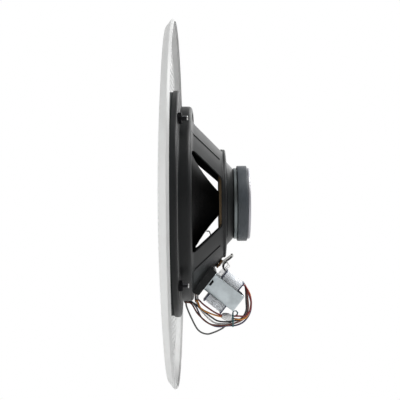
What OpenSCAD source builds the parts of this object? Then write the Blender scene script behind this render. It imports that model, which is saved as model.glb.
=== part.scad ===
// Ceiling loudspeaker: an 8 inch driver held behind a round perforated grille, with a line transformer.
// The speaker's axis runs along X. The grille faces -X, the magnet points to +X, and +Z is up.
// The origin is in the middle of the circle of ceiling screws, half way through the grille's sheet.

/* [Grille] */
// Outer diameter of the grille
grille_d = 327; // [318:1:345]
// Thickness of the grille's steel sheet
grille_t = 1; // [0.8:0.1:1.4]
// Height of the straight wall at the grille's edge
rim_h = 2.5; // [1.5:0.5:5]
// Width of the bevel inside the rim, along the radius
bevel_w = 6; // [4:0.5:8]
// Height of the bevel
bevel_h = 5; // [3:0.5:8]
// How far the middle of the domed face stands in front of its edge
dome_rise = 7.5; // [5:0.5:10]
// Distance between the centres of neighbouring holes
mesh_pitch = 26; // [22:0.5:36]
// Diameter of a hole in the face
mesh_hole_d = 16; // [10:0.5:18]
// Diameter of the circle of ceiling screws
screw_circle_d = 288; // [270:1:296]
// Diameter of a ceiling screw's hole
screw_hole_d = 5; // [3.5:0.1:6]

/* [Driver mounting] */
// Diameter of the circle of studs
stud_circle_d = 194; // [192:0.5:195]
// Diameter of a stud
stud_d = 4.2; // [3:0.1:4.8]
// Length of a stud
stud_l = 22.2; // [20:0.1:26]
// Thickness of the foam ring between the grille and the driver
foam_t = 8.1; // [6:0.1:9]
// Thickness of the driver's paper gasket
gasket_t = 5; // [3:0.1:6]
// Width of the gasket and of the foam ring
gasket_w = 10.4; // [8:0.1:11]
// Width across the flats of a nut
nut_w = 8.7; // [7:0.1:10]
// Height of a nut
nut_h = 3.3; // [2.5:0.1:4]

/* [Basket] */
// Outer diameter of the flange
flange_d = 203.4; // [203:0.1:206]
// Height of the wall round the flange's edge
flange_h = 5.4; // [3:0.1:6]
// Thickness of the pressed sheet
basket_t = 1; // [0.8:0.1:1.4]
// Diameter of the cup behind the flange
cup_d = 175.2; // [173:0.2:178]
// Depth of the cup behind the flange
cup_h = 10.4; // [8:0.2:13]
// Diameter where the slope of the spokes begins
slope_d = 162; // [158:1:166]
// Length of the slope along the axis
slope_h = 24.7; // [22:0.1:30]
// Diameter of the ring behind the spokes
ring_d = 97.6; // [94:0.2:104]
// Width of that ring's outer wall
ring_h = 3.7; // [3:0.1:5]
// Diameter of the flat seat under the magnet
seat_d = 62; // [58:1:64]
// Height of the seat behind the ring
seat_h = 6; // [5:0.1:8]
// Width of a spoke
spoke_w = 34.5; // [28:0.5:40]
// Outer diameter of the windows
window_d = 165; // [158:0.5:168]
// Rounding of a window's corners
window_r = 5; // [2:0.5:7]
// Width of the groove pressed along a spoke
bead_w = 2.4; // [1.6:0.2:4]
// Depth of that groove
bead_h = 0.5; // [0.3:0.1:0.6]

/* [Motor] */
// Diameter of the magnet
magnet_d = 68; // [66:0.5:76]
// Thickness of the magnet
magnet_h = 9; // [8.5:0.5:14]
// Diameter of the hole in the magnet
magnet_bore = 32; // [28:0.5:36]
// Diameter of the two steel plates
plate_d = 64; // [62.5:0.5:65.5]
// Thickness of the plate in front of the magnet
top_plate_h = 3.1; // [2.5:0.1:4]
// Thickness of the plate behind the magnet
back_plate_h = 2.5; // [2:0.1:4]
// Diameter of the pole piece
pole_d = 18; // [17.6:0.1:18.4]
// Diameter of the hole in the front plate
gap_d = 22; // [21.6:0.1:22.6]

/* [Cone] */
// Inside diameter of the voice coil's tube
coil_d = 19.3; // [19.2:0.1:19.6]
// Length of the wound part of the voice coil
coil_h = 6; // [5:0.5:7]
// Outer diameter of the cone
cone_d = 154; // [150:0.5:156]
// Thickness of the cone's paper
cone_t = 0.5; // [0.3:0.1:0.8]
// Diameter of the dust cap
cap_d = 34; // [28:1:44]
// Height of the dust cap
cap_h = 6; // [4:0.5:9]
// How far the cone can move each way
travel = 3; // [1:0.5:3]

/* [Transformer] */
// Width of the core across its three legs
core_w = 34; // [30:0.5:38]
// Height of the core
core_h = 31; // [28:0.5:36]
// Thickness of the stack of laminations
core_t = 14.6; // [12:0.1:18]
// Width of one outer leg of the core
core_leg = 5.5; // [4.5:0.1:6]
// Thickness of the bracket's sheet
bracket_t = 0.9; // [0.7:0.1:1.2]
// Width of the bracket's strap
bracket_w = 16.3; // [15:0.1:19]
// Length of each of the bracket's feet
foot_l = 9; // [7:0.5:10]
// Height of the winding across the stack
winding_t = 34; // [28:0.5:38]
// Thickness of the clear film round the winding
film_t = 0.3; // [0.2:0.1:0.5]
// Diameter of a lead over its insulation
lead_d = 1.5; // [1.2:0.1:1.8]

/* [Hidden] */
$fn = 96;

// Small clearance between pieces that are glued or laid on each other
glue = 0.02;
// The same between flat pieces and the domed face
laid = 0.08;
// Overshoot of a cutting solid past the surface that it cuts
past = 1;
slope_run = (slope_d - ring_d) / 2 - 1.3;

// Radii and places of the grille along the axis
grille_r = grille_d / 2;
face_r = grille_r - bevel_w;
screw_r = screw_circle_d / 2;
dome_r = (face_r * face_r + dome_rise * dome_rise) / (2 * dome_rise);
dome_x = -grille_t / 2 - dome_drop(screw_r, dome_r);
bevel_x = dome_front(face_r);
rim_x = bevel_x + bevel_h;
rim_back = rim_x + rim_h;
rim_lean = 0.8;
dome_fn = 720;

// How far a sphere falls back at radius r, and the places of the dome's two faces there
function dome_drop(r, sphere_r) = sphere_r - sqrt(sphere_r * sphere_r - r * r);
function dome_front(r) = dome_x + dome_drop(r, dome_r);
function dome_back(r) = dome_x + grille_t + dome_drop(r, dome_r - grille_t);

// Places of the driver's pieces along the axis
surround_t = 0.4;
flange_r = flange_d / 2;
gasket_r = flange_r - basket_t - 0.3;
gasket_bore_r = gasket_r - gasket_w;
stud_r = stud_circle_d / 2;
gasket_x = dome_back(gasket_bore_r) + foam_t;
surround_x = gasket_x + gasket_t;
flange_front = surround_x + surround_t;
flange_x = flange_front + basket_t;
cup_r = cup_d / 2;
cup_x = flange_x + cup_h;
slope_x = cup_x + 1;
slope_r = slope_d / 2;
slope_end_x = slope_x + slope_h;
slope_end_r = slope_r - slope_run;
ring_r = ring_d / 2;
ring_x = slope_end_x + ring_h;
ledge_r = 37.5;
ledge_x = ring_x + 1.1;
seat_r = seat_d / 2;
seat_x = ring_x + 1.1 + seat_h;
seat_bore_r = 20;
stud_hole_d = stud_d + 0.8;
stud_x = dome_back(stud_r + stud_d / 2) + laid;

// Places of the motor along the axis
top_plate_x = seat_x + top_plate_h;
magnet_x = top_plate_x + magnet_h;
back_x = magnet_x + back_plate_h;
stake_d = 10;
rivet_d = 4;
rivet_circle_r = 25.5;
terminal_rivet_d = 3;

// The voice coil, and the cone as a curve of its radius
former_t = 0.15;
former_r = coil_d / 2 + former_t;
wire_t = 0.5;
coil_mid = seat_x + top_plate_h / 2;
cone_r = cone_d / 2;
neck_r = former_r + glue;
neck_ahead = 13.8;
neck_x = coil_mid - neck_ahead;
cone_steep = 0.93;
cone_flare = 0.0063;
cone_steps = 9;
spider_x = neck_x + 2.2;
spider_r = ring_r - basket_t - 1;

// The slope of the basket, and the flat pad for the transformer
slope_angle = atan2(slope_run, slope_h);
pad_l = 25;
pad_w = 58;
pad_h = 2.9;
transformer_up = 2.2;

// The terminal board lies above the slope's end, and the pad lies above the board
terminal_l = 8;
terminal_w = 22;
terminal_t = 1.6;
terminal_lift = 0.3;
lug_y = 6;
lug_slot_w = 1.1;
lug_slot_l = 3.4;
lug_in = -3.6;
board_end_gap = 0.55;
pad_board_gap = 2.7;
slope_l = sqrt(slope_h * slope_h + slope_run * slope_run);
terminal_at = 1 - (board_end_gap + terminal_l / 2) / slope_l;
terminal_x = slope_x + terminal_at * slope_h;
terminal_r = slope_r - terminal_at * slope_run;
pad_at = terminal_at - (terminal_l / 2 + pad_board_gap + pad_l / 2) / slope_l;
pad_x = slope_x + pad_at * slope_h;
pad_r = slope_r - pad_at * slope_run;

// The transformer's inner sizes
leg_mid = 10;
window_w = (core_w - 2 * core_leg - leg_mid) / 2;
bobbin_gap = 0.3;
bobbin_t = 1;
tube_wall = 2.4;
winding_l = core_h - 2 * core_leg - 2 * bobbin_t - 2 * bobbin_gap;
winding_w = core_w - 2 * core_leg - 2 * film_t - 2 * bobbin_gap;

// Unit vector, and the left-hand normal of a vector
function unit(v) = v / norm(v);
function left(v) = [-v[1], v[0]];

// Points of a soft bend of the given length in place of the corner b
function bend(a, b, c, cut, n = 4) = [
    for (i = [0 : n])
        let (s = i / n, p = b + unit(a - b) * cut, q = b + unit(c - b) * cut)
            (1 - s) * (1 - s) * p + 2 * s * (1 - s) * b + s * s * q
];

// A path from rows of radius, place along the axis and length of the bend at that corner
function bent_path(rows) = [
    for (i = [0 : len(rows) - 1])
        let (p = [rows[i][0], rows[i][1]])
            each rows[i][2] == 0
                ? [p]
                : bend(xy(rows[i - 1]), p, xy(rows[i + 1]), rows[i][2])
];
function xy(row) = [row[0], row[1]];

// The same path moved sideways by d
function shifted(p, d) = [
    for (i = [0 : len(p) - 1])
        let (
            n1 = left(unit(i == 0 ? p[1] - p[0] : p[i] - p[i - 1])),
            n2 = left(unit(i == len(p) - 1 ? p[i] - p[i - 1] : p[i + 1] - p[i]))
        )
            p[i] + d * (n1 + n2) / (1 + n1 * n2)
];
function reversed(p) = [for (i = [len(p) - 1 : -1 : 0]) p[i]];

// Turns a profile of radius and place along the axis round the X axis
module turned(points) {
    rotate([0, 90, 0]) rotate_extrude() polygon(points);
}

// A sheet of thickness t pressed to a path, turned round the X axis
module turned_sheet(path, t) {
    turned(concat(path, reversed(shifted(path, t))));
}

// A round bar or a hole along X
module bar(d, x1, x2) {
    translate([x1, 0, 0]) rotate([0, 90, 0]) cylinder(d = d, h = x2 - x1, $fn = 32);
}

// Copies on the four diagonals at radius r, the first one up and towards -Y
module on_diagonals(r) {
    for (a = [45 : 90 : 315])
        rotate([a, 0, 0]) translate([0, 0, r]) children();
}

// A flat plate across the axis, its outline drawn in Y and Z
module across(x1, x2) {
    translate([x1, 0, 0]) rotate([90, 0, 90]) linear_extrude(x2 - x1) children();
}

// A ring about the X axis
module ring(r_in, r_out, x1, x2) {
    turned([[r_in, x1], [r_out, x1], [r_out, x2], [r_in, x2]]);
}

// Rows of the staggered holes, clear of the face's edge, the studs and the ceiling screws
mesh_edge = 5;
mesh_clear = mesh_hole_d / 2 + 5.5;
mesh_rows = ceil(face_r / (mesh_pitch * sqrt(3) / 2));
function nearest(p, r, first) = min([for (a = [first : 90 : 270 + first]) norm(p - r * [cos(a), sin(a)])]);
mesh_points = [
    for (row = [-mesh_rows : mesh_rows], col = [-mesh_rows : mesh_rows])
        let (p = mesh_pitch * [col + abs(row) % 2 / 2, row * sqrt(3) / 2])
            if (norm(p) < face_r - mesh_edge - mesh_hole_d / 2
                && nearest(p, stud_r, 45) > mesh_clear && nearest(p, screw_r, 0) > mesh_clear) p
];

module grille() {
    color("gainsboro") difference() {
        union() {
            intersection() {
                difference() {
                    translate([dome_x + dome_r, 0, 0]) sphere(r = dome_r, $fn = dome_fn);
                    translate([dome_x + dome_r, 0, 0]) sphere(r = dome_r - grille_t, $fn = dome_fn);
                }
                bar_wide(face_r, dome_x - past, rim_back);
            }
            turned([
                [face_r, bevel_x], [grille_r - 0.4, rim_x - 0.3], [grille_r, rim_x + 0.3],
                [grille_r - rim_lean, rim_back], [grille_r - rim_lean - grille_t, rim_back],
                [grille_r - grille_t, rim_x + 0.6], [face_r, dome_back(face_r)]
            ]);
        }
        across(dome_x - past, bevel_x + 3 * grille_t)
            for (p = mesh_points) translate(p) circle(d = mesh_hole_d, $fn = 24);
        for (a = [0 : 90 : 270]) rotate([a, 0, 0]) translate([0, 0, screw_r])
            bar(screw_hole_d, -bevel_h, bevel_h);
    }
}

// A wide round block along X
module bar_wide(r, x1, x2) {
    translate([x1, 0, 0]) rotate([0, 90, 0]) cylinder(r = r, h = x2 - x1);
}

module grille_studs() {
    tip = 0.6;
    color("dimgray") on_diagonals(stud_r) {
        bar(stud_d, stud_x, stud_x + stud_l - tip);
        translate([stud_x + stud_l - tip, 0, 0]) rotate([0, 90, 0])
            cylinder(d1 = stud_d, d2 = stud_d - 2 * tip, h = tip, $fn = 32);
    }
}

module foam_ring() {
    color("#26292a") difference() {
        turned([
            [gasket_bore_r, dome_back(gasket_bore_r) + laid], [gasket_r, dome_back(gasket_r) + laid],
            [gasket_r, gasket_x - glue], [gasket_bore_r, gasket_x - glue]
        ]);
        on_diagonals(stud_r) bar(stud_hole_d, dome_x, gasket_x + past);
    }
}

module gasket() {
    color("#3b403d") difference() {
        ring(gasket_bore_r, gasket_r, gasket_x, surround_x - glue);
        on_diagonals(stud_r) bar(stud_hole_d, gasket_x - past, surround_x + past);
    }
}

module stud_nuts() {
    color("#2f3030") on_diagonals(stud_r) difference() {
        translate([flange_x + glue, 0, 0]) rotate([0, 90, 0])
            cylinder(d = nut_w / cos(30), h = nut_h, $fn = 6);
        bar(stud_d + 2 * glue, flange_x - past, flange_x + nut_h + past);
    }
}

// The outside of the basket's sheet from the flange's edge to the magnet's seat
basket_path = bent_path([
    [flange_r, flange_x - flange_h, 0],
    [flange_r, flange_x, 2.2],
    [cup_r, flange_x, 1.4],
    [cup_r, cup_x, 3],
    [slope_r, slope_x, 2.2],
    [slope_end_r, slope_end_x, 0.7],
    [ring_r, slope_end_x + 1, 0.7],
    [ring_r, ring_x, 1.6],
    [ledge_r, ledge_x, 1],
    [seat_r, seat_x, 1.4],
    [seat_bore_r, seat_x, 0]
]);

// One window between two spokes, above the axis
module window_outline() {
    k = spoke_w / sqrt(2);
    offset(r = window_r, $fn = 24) offset(delta = -window_r) intersection() {
        difference() {
            circle(d = window_d, $fn = 72);
            circle(d = ring_d + 0.4, $fn = 48);
        }
        polygon([[0, k], [-window_d, k + window_d], [window_d, k + window_d]]);
    }
}

// Places a child on the bottom of the basket's slope: its X runs down the slope and its Z points out
module on_slope(x, r) {
    translate([x, 0, -r]) rotate([0, 180 - slope_angle, 0]) children();
}

// The raised pad's side view, less wall thickness when inset is above 0
module pad_block(inset) {
    half = pad_l / 2 - inset;
    deep = 12;
    rotate([90, 0, 0]) linear_extrude(pad_w - 2 * inset, center = true)
        polygon([
            [-half - 2, -deep], [half + 4, -deep], [half, pad_h - inset], [-half, pad_h - inset]
        ]);
}

// A groove along a spoke that follows the slope: from depth a to depth b under the sheet's outside
module bead_strip(a, b) {
    p1 = [slope_r - 2, slope_x + 2 * slope_h / slope_run];
    p2 = [slope_end_r + 2, slope_end_x - 2 * slope_h / slope_run];
    path = [[cup_r - 4, cup_x + 0.6], p1, p2];
    strip = concat(shifted(path, a), reversed(shifted(path, b)));
    rotate([90, 0, 0]) linear_extrude(bead_w, center = true)
        polygon([for (p = strip) [p[1], p[0]]]);
}

module basket() {
    inside = shifted(basket_path, basket_t);
    color("#202223") difference() {
        union() {
            turned_sheet(basket_path, basket_t);
            difference() {
                on_slope(pad_x, pad_r) pad_block(0);
                turned(concat([[0, flange_x]], inside, [[0, seat_x]]));
            }
            for (a = [45 : 90 : 315]) rotate([a, 0, 0]) bead_strip(0.4, basket_t + bead_h);
        }
        on_slope(pad_x, pad_r) pad_block(basket_t);
        for (a = [0, 90, 270]) rotate([a, 0, 0]) across(cup_x - 3, ring_x) window_outline();
        for (a = [45 : 90 : 315]) rotate([a, 0, 0]) bead_strip(-past, bead_h);
        on_diagonals(stud_r) bar(stud_hole_d, flange_front - past, flange_x + past);
        on_diagonals(rivet_circle_r) bar(rivet_d + 2 * glue, seat_x - 2 * past, seat_x + past);
        on_slope(terminal_x, terminal_r) {
            for (y = [-lug_y, lug_y]) translate([0, y, 0])
                cube([lug_slot_w + 2, lug_slot_l + 2, 4 * basket_t], center = true);
            cylinder(d = terminal_rivet_d + 4 * laid, h = 4 * basket_t, center = true, $fn = 32);
        }
        for (y = [-1, 1]) on_slope(pad_x, pad_r)
            translate([-transformer_up, y * (core_w / 2 + bracket_t + foot_l / 2), 0])
                cylinder(d = screw_d + 0.4, h = 2 * pad_h, $fn = 24);
    }
}

module surround() {
    roll = 4.2;
    glue_r = cone_r - 2;
    outer_r = gasket_bore_r - 0.8;
    mid_r = (cone_r + outer_r) / 2;
    half = (outer_r - cone_r) / 2;
    path = concat(
        [[glue_r, cone_front(glue_r) - glue - surround_t]],
        [[cone_r, cone_front(cone_r) - glue - surround_t]],
        [for (a = [150 : -20 : 30]) [mid_r + half * cos(a), surround_x - roll * sin(a)]],
        [[outer_r, surround_x], [gasket_r - 1, surround_x]]
    );
    color("#1c1c1c") difference() {
        turned(concat(path, reversed(shifted(path, surround_t))));
        on_diagonals(stud_r) bar(stud_hole_d, surround_x - past, flange_x);
    }
}

// Place of the cone's back face along the axis at radius r
function cone_front(r) = cone_x(r) - cone_t * sqrt(1 + pow(cone_steep, 2));
function cone_x(r) = neck_x - cone_steep * (r - neck_r) + cone_flare * pow(r - neck_r, 2);
cone_radii = [for (i = [0 : cone_steps]) neck_r + (cone_r - neck_r) * i / cone_steps];

module cone() {
    back = [for (r = cone_radii) [r, cone_x(r)]];
    front = [for (r = cone_radii) [r, cone_front(r)]];
    color("#151515") turned(concat(back, reversed(front)));
}

module dust_cap() {
    cap_r = cap_d / 2;
    lip_x = cone_front(cap_r) - cone_t - glue;
    path = [for (a = [0 : 15 : 90]) [cap_r * cos(a), lip_x - cap_h * sin(a)]];
    hollow = [for (p = path) [max(p[0] - cone_t, 0), p[1] + cone_t]];
    color("#1a1a1a") turned(concat(path, reversed(hollow)));
}

module coil_former() {
    color("#b9a27a") ring(former_r - former_t, former_r, neck_x - 1, coil_mid + coil_h / 2 + 0.2);
}

module voice_coil() {
    color("#b5652f")
        ring(former_r + glue, former_r + wire_t, coil_mid - coil_h / 2, coil_mid + coil_h / 2);
}

// Place of the spider's rim where it lies on the inside of the basket's ledge
spider_t = 0.35;
function ledge_front(r) = ledge_x - (r - ledge_r) * (ledge_x - ring_x) / (ring_r - ledge_r)
    - basket_t * 1.01 - spider_t - 2 * glue;

module spider() {
    wave = 1.1;
    waves = 6;
    inner_r = former_r + 0.05;
    flat_r = ledge_r + 1.5;
    step = (flat_r - inner_r - 1.5) / (2 * waves);
    path = concat(
        [[inner_r, spider_x + 1.2], [inner_r + 0.6, spider_x]],
        [for (i = [0 : 2 * waves]) [inner_r + 1.5 + i * step, spider_x + wave * (i % 2 == 0 ? -1 : 1)]],
        [[flat_r + 1.2, ledge_front(flat_r + 1.2)], [spider_r, ledge_front(spider_r)]]
    );
    color("#5f4a2c") turned_sheet(path, spider_t);
}

module top_plate() {
    edge = 0.5;
    r = plate_d / 2;
    color("silver") difference() {
        turned([
            [gap_d / 2, seat_x], [r - edge, seat_x], [r, seat_x + edge],
            [r, top_plate_x], [gap_d / 2, top_plate_x]
        ]);
        on_diagonals(rivet_circle_r) bar(rivet_d + 2 * glue, seat_x - past, seat_x + 2);
    }
}

module magnet() {
    edge = 0.8;
    r = magnet_d / 2;
    color("#3d4347") turned([
        [magnet_bore / 2, top_plate_x], [r - edge, top_plate_x], [r, top_plate_x + edge],
        [r, magnet_x - edge], [r - edge, magnet_x], [magnet_bore / 2, magnet_x]
    ]);
}

module back_plate() {
    edge = 0.7;
    r = plate_d / 2;
    color("silver") turned([
        [stake_d / 2 + glue, magnet_x], [r, magnet_x], [r, back_x - edge],
        [r - edge, back_x], [stake_d / 2 + glue, back_x]
    ]);
}

module pole_piece() {
    edge = 0.5;
    r = pole_d / 2;
    color("gainsboro") turned([
        [0, seat_x], [r - edge, seat_x], [r, seat_x + edge], [r, magnet_x],
        [stake_d / 2, magnet_x], [stake_d / 2, back_x], [0, back_x]
    ]);
}

module plate_rivets() {
    color("silver") on_diagonals(rivet_circle_r) {
        bar(rivet_d, seat_x - basket_t - glue, seat_x + 1.9);
        bar(rivet_d + 2.6, seat_x - basket_t - 1.2, seat_x - basket_t - glue);
    }
}

// The small insulating board on the slope, with a lug for each wire of the coil
module terminal_board() {
    color("#6b4a2a") on_slope(terminal_x, terminal_r) difference() {
        translate([-terminal_l / 2, -terminal_w / 2, terminal_lift]) cube([terminal_l, terminal_w, terminal_t]);
        for (y = [-lug_y, lug_y]) translate([0, y, 0])
            cube([lug_slot_w, lug_slot_l, 4 * (terminal_lift + terminal_t)], center = true);
        cylinder(d = terminal_rivet_d + 2 * laid, h = terminal_lift + 2 * terminal_t, $fn = 32);
    }
}

module terminal_lugs() {
    lug_t = 0.7;
    lug_w = 3;
    lug_l = 14.4;
    lug_bend = 4.5;
    lug_rise = 3;
    eye_d = 1.6;
    base = terminal_lift + terminal_t + glue;
    color("gainsboro") on_slope(terminal_x, terminal_r)
        for (y = [-lug_y, lug_y]) translate([0, y, 0]) difference() {
            rotate([90, 0, 0]) linear_extrude(lug_w, center = true) polygon([
                [-lug_t / 2, lug_in], [lug_t / 2, lug_in], [lug_t / 2, base + lug_t],
                [-lug_bend, base + lug_t], [-lug_l, base + lug_rise + lug_t],
                [-lug_l, base + lug_rise], [-lug_bend, base], [-lug_t / 2, base]
            ]);
            translate([eye_d - lug_l, 0, 0]) cylinder(d = eye_d, h = 4 * base, $fn = 20);
        }
}

module terminal_rivet() {
    head_h = 0.9;
    head_d = 5;
    board_top = terminal_lift + terminal_t + glue;
    under = basket_t + 2 * laid;
    color("silver") on_slope(terminal_x, terminal_r) {
        translate([0, 0, board_top]) cylinder(d1 = head_d, d2 = head_d - 1.2, h = head_h, $fn = 32);
        translate([0, 0, -under]) cylinder(d = terminal_rivet_d, h = under + board_top, $fn = 32);
        translate([0, 0, -under - head_h]) cylinder(d = head_d, h = head_h, $fn = 32);
    }
}

// The transformer stands on the pad; its frame has Z out of the pad and X down the slope
module on_pad() {
    on_slope(pad_x, pad_r) translate([-transformer_up, 0, pad_h]) children();
}

core_z = bracket_t + 0.1;

module block(l, w, z1, z2) {
    translate([-l / 2, -w / 2, z1]) cube([l, w, z2 - z1]);
}

module transformer_core() {
    z0 = core_z;
    color("#8d9396") on_pad() difference() {
        block(core_t, core_w, z0, z0 + core_h);
        for (y = [-1, 1])
            translate([0, y * (leg_mid + window_w) / 2, 0])
                block(core_t + 2 * past, window_w, z0 + core_leg, z0 + core_h - core_leg);
    }
}

module bobbin() {
    z1 = core_z + core_leg + bobbin_gap;
    z2 = core_z + core_h - core_leg - bobbin_gap;
    color("#30345c") on_pad() difference() {
        union() {
            block(winding_t + 1, winding_w + 2 * film_t, z1, z1 + bobbin_t);
            block(winding_t + 1, winding_w + 2 * film_t, z2 - bobbin_t, z2);
            block(core_t + tube_wall, leg_mid + tube_wall, z1, z2);
        }
        block(core_t + bobbin_gap, leg_mid + bobbin_gap, z1 - past, z2 + past);
    }
}

// A block with rounded corners, seen along Z
module round_block(l, w, r, z1, z2) {
    translate([0, 0, z1]) linear_extrude(z2 - z1) {
        square([l - 2 * r, w], center = true);
        square([l, w - 2 * r], center = true);
        for (x = [-1, 1], y = [-1, 1])
            translate([x * (l / 2 - r), y * (w / 2 - r)]) circle(r = r, $fn = 24);
    }
}

winding_z = core_z + core_leg + bobbin_gap + bobbin_t + glue;
winding_end = winding_z + winding_l - 2 * glue;
winding_r = 3;

module winding() {
    color("#a9a49a") on_pad() difference() {
        round_block(winding_t - 2 * film_t, winding_w, winding_r, winding_z, winding_end);
        block(core_t + tube_wall + 2 * glue, leg_mid + tube_wall + 2 * glue, 0, core_h);
    }
}

module film_wrap() {
    color("#d8dde0") on_pad() difference() {
        round_block(winding_t, winding_w + 2 * film_t, winding_r + film_t, winding_z, winding_end);
        round_block(winding_t - 2 * film_t + glue, winding_w + glue, winding_r, 0, core_h);
    }
}

screw_d = 3;
screw_head_h = 2.2;
screw_l = 4;

module bracket() {
    top = core_z + core_h + glue;
    inner = core_w / 2 + glue;
    outer = inner + bracket_t;
    color("#b9c4c8") on_pad() difference() {
        rotate([90, 0, 90]) linear_extrude(bracket_w, center = true) polygon([
            [-outer - foot_l, 0], [-inner, 0], [-inner, top], [inner, top], [inner, 0],
            [outer + foot_l, 0], [outer + foot_l, bracket_t], [outer, bracket_t],
            [outer, top + bracket_t], [-outer, top + bracket_t], [-outer, bracket_t],
            [-outer - foot_l, bracket_t]
        ]);
        for (y = [-1, 1]) translate([0, y * (outer + foot_l / 2), -past])
            cylinder(d = screw_d + 0.6, h = bracket_t + 2 * past, $fn = 24);
    }
}

module bracket_screws() {
    color("#17181a") on_pad() for (y = [-1, 1])
        translate([0, y * (core_w / 2 + bracket_t + foot_l / 2), 0]) {
            translate([0, 0, bracket_t + glue])
                cylinder(d1 = 2 * screw_d + 0.4, d2 = 1.5 * screw_d, h = screw_head_h, $fn = 32);
            translate([0, 0, -screw_l])
                cylinder(d = screw_d - 0.2, h = screw_l + bracket_t + glue, $fn = 24);
        }
}

// A round tube along a route, with flat ends
function along(p, i) = unit(p[min(i + 1, len(p) - 1)] - p[max(i - 1, 0)]);
function carried(p, u, i = 0) = i == len(p) ? [] :
    let (t = along(p, i), v = unit(u - (u * t) * t)) concat([v], carried(p, v, i + 1));
module tube(route, d, sides = 8) {
    last = len(route) - 1;
    turns = carried(route, cross(along(route, 0), [0, 1, 0]));
    points = [
        for (i = [0 : last])
            let (u = turns[i], v = cross(u, along(route, i)))
                for (k = [0 : sides - 1])
                    let (a = 360 * k / sides)
                        route[i] + d / 2 * (cos(a) * u + sin(a) * v)
    ];
    ends = [[for (k = [sides - 1 : -1 : 0]) k], [for (k = [0 : sides - 1]) last * sides + k]];
    walls = [
        for (i = [0 : last - 1], k = [0 : sides - 1])
            let (a = i * sides + k, b = i * sides + (k + 1) % sides)
                each [[a, b, b + sides], [a, b + sides, a + sides]]
    ];
    polyhedron(points, concat(ends, walls), convexity = 6);
}

// A point of the slope's and of the pad's frame, in the part's own frame
function slope_point(x, r, p) = [
    x - p[0] * cos(slope_angle) + p[2] * sin(slope_angle),
    p[1],
    -r - p[0] * sin(slope_angle) - p[2] * cos(slope_angle)
];
function pad_point(p) = slope_point(pad_x, pad_r, p + [-transformer_up, 0, pad_h]);

// The first two points of a lead that leaves the bobbin's outer flange at y
coil_top = core_z + core_h - core_leg - bobbin_gap + glue;
function leaving(y) = [
    pad_point([1.5 - winding_t / 2, y, coil_top]), pad_point([1.5 - winding_t / 2, y, coil_top + 3])
];
// The last points of a lead, round the far side of the basket at place x and radius r, from y on
function lapped(x, r, y) = [
    [x + 0.5, y + 2, -sqrt(r * r - (y + 2) * (y + 2))],
    for (a = [12, 22, 32]) [x, r * sin(a), -r * cos(a)]
];
lap_gap = 0.6;
cup_touch = cup_r + lead_d / 2 + lap_gap;

orange_route = concat(leaving(-5.5), [
    [72.5, -5.3, -82.5], [73, -4.5, -91.5], [70.5, -4.8, -100], [65.5, -3.8, -104], [57, -0.6, -103.9],
    [49, -2, -102.5], [38, -2.5, -99.5], [28.5, -3, -94.5], [25.4, -3, -88.3]
], lapped(23.5, 86.4, -3));
red_route = concat(leaving(-8), [
    [73, -7.5, -86], [72.5, -6.5, -95], [68.5, -6.3, -100.6], [61.5, -2.2, -101.5], [54.5, 0, -101.5],
    [46.5, -3, -100.4], [39.5, -5, -97], [30.5, -5, -90.5], [27, -5, -87]
], lapped(25.2, 86.2, -5));
brown_route = concat(leaving(-3), [
    [70.5, -3, -87], [70.5, -2.8, -96], [67.5, -2.2, -103], [61, -1.5, -106.8], [52.5, -2, -109.4],
    [41, -1.6, -109.5], [34.5, -1.5, -107.5], [25.5, -1, -99.5], [20, -1, -90.5], [16, -1, -cup_touch]
], lapped(13.2, cup_touch, -1));
black_route = concat(leaving(0), [
    [69, 0, -87.5], [69, -0.2, -96.5], [65.3, -0.3, -103.1], [59, -0.9, -105.7], [51, -1, -106.6],
    [43.5, 0, -106], [37.5, 0.6, -102.5], [29, 1, -96], [22, 1, -90], [18, 1, -cup_touch]
], lapped(15.2, cup_touch, 1));
white_route = concat(leaving(3), [
    [71, 3, -89.5], [70.5, 2.6, -98.5], [65.5, 1.4, -105.6], [59, 0.3, -108.2], [53, 0.2, -108.4],
    [42, 1.4, -108.3], [34.5, 2.5, -103.5], [27.5, 3, -95.5], [24.6, 3, -90]
], lapped(22.9, 88.4, 3));
violet_route = concat(leaving(6), [
    [73.5, 6, -88.5], [73, 5, -98.5], [67.5, 2.4, -106.5], [60.5, 0, -109.8], [53, 0.2, -110.4],
    [41, 2.4, -111], [29.5, 4.5, -104.5], [24, 4, -94], [20, 3.2, -cup_touch]
], lapped(17.2, cup_touch, 3.2));
grey_route = concat(leaving(9), [
    [70, 8.5, -90], [69.5, 6.5, -99.5], [64, 3, -104.6], [56, 1.9, -106.8], [51.5, 2.6, -109.6],
    [47.5, 2.6, -113], [40, 2.4, -116.5], [33, 2.3, -118], [25.5, 2.5, -114.3],
    [19.5, 2.5, -103.5], [15.5, 2.5, -94]
], lapped(14.2, cup_touch + 1.9, 2.5));

// The two flexible wires from the cone to the lugs inside the basket
tinsel_r = 25;
lug_end = slope_point(terminal_x, terminal_r, [-1.1, 0, lug_in + 1.2]);
function tinsel_route(side) = [
    [cone_x(tinsel_r) + 0.7, side * (lug_y - 1), -tinsel_r],
    [cone_x(tinsel_r) + 3.2, side * (lug_y - 1), -tinsel_r - 0.4],
    [38, side * lug_y, -30.5], [39.5, side * lug_y, -36], [40.5, side * lug_y, -42],
    [lug_end[0], side * lug_y, lug_end[2] + 4], [lug_end[0], side * lug_y, lug_end[2]]
];
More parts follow.
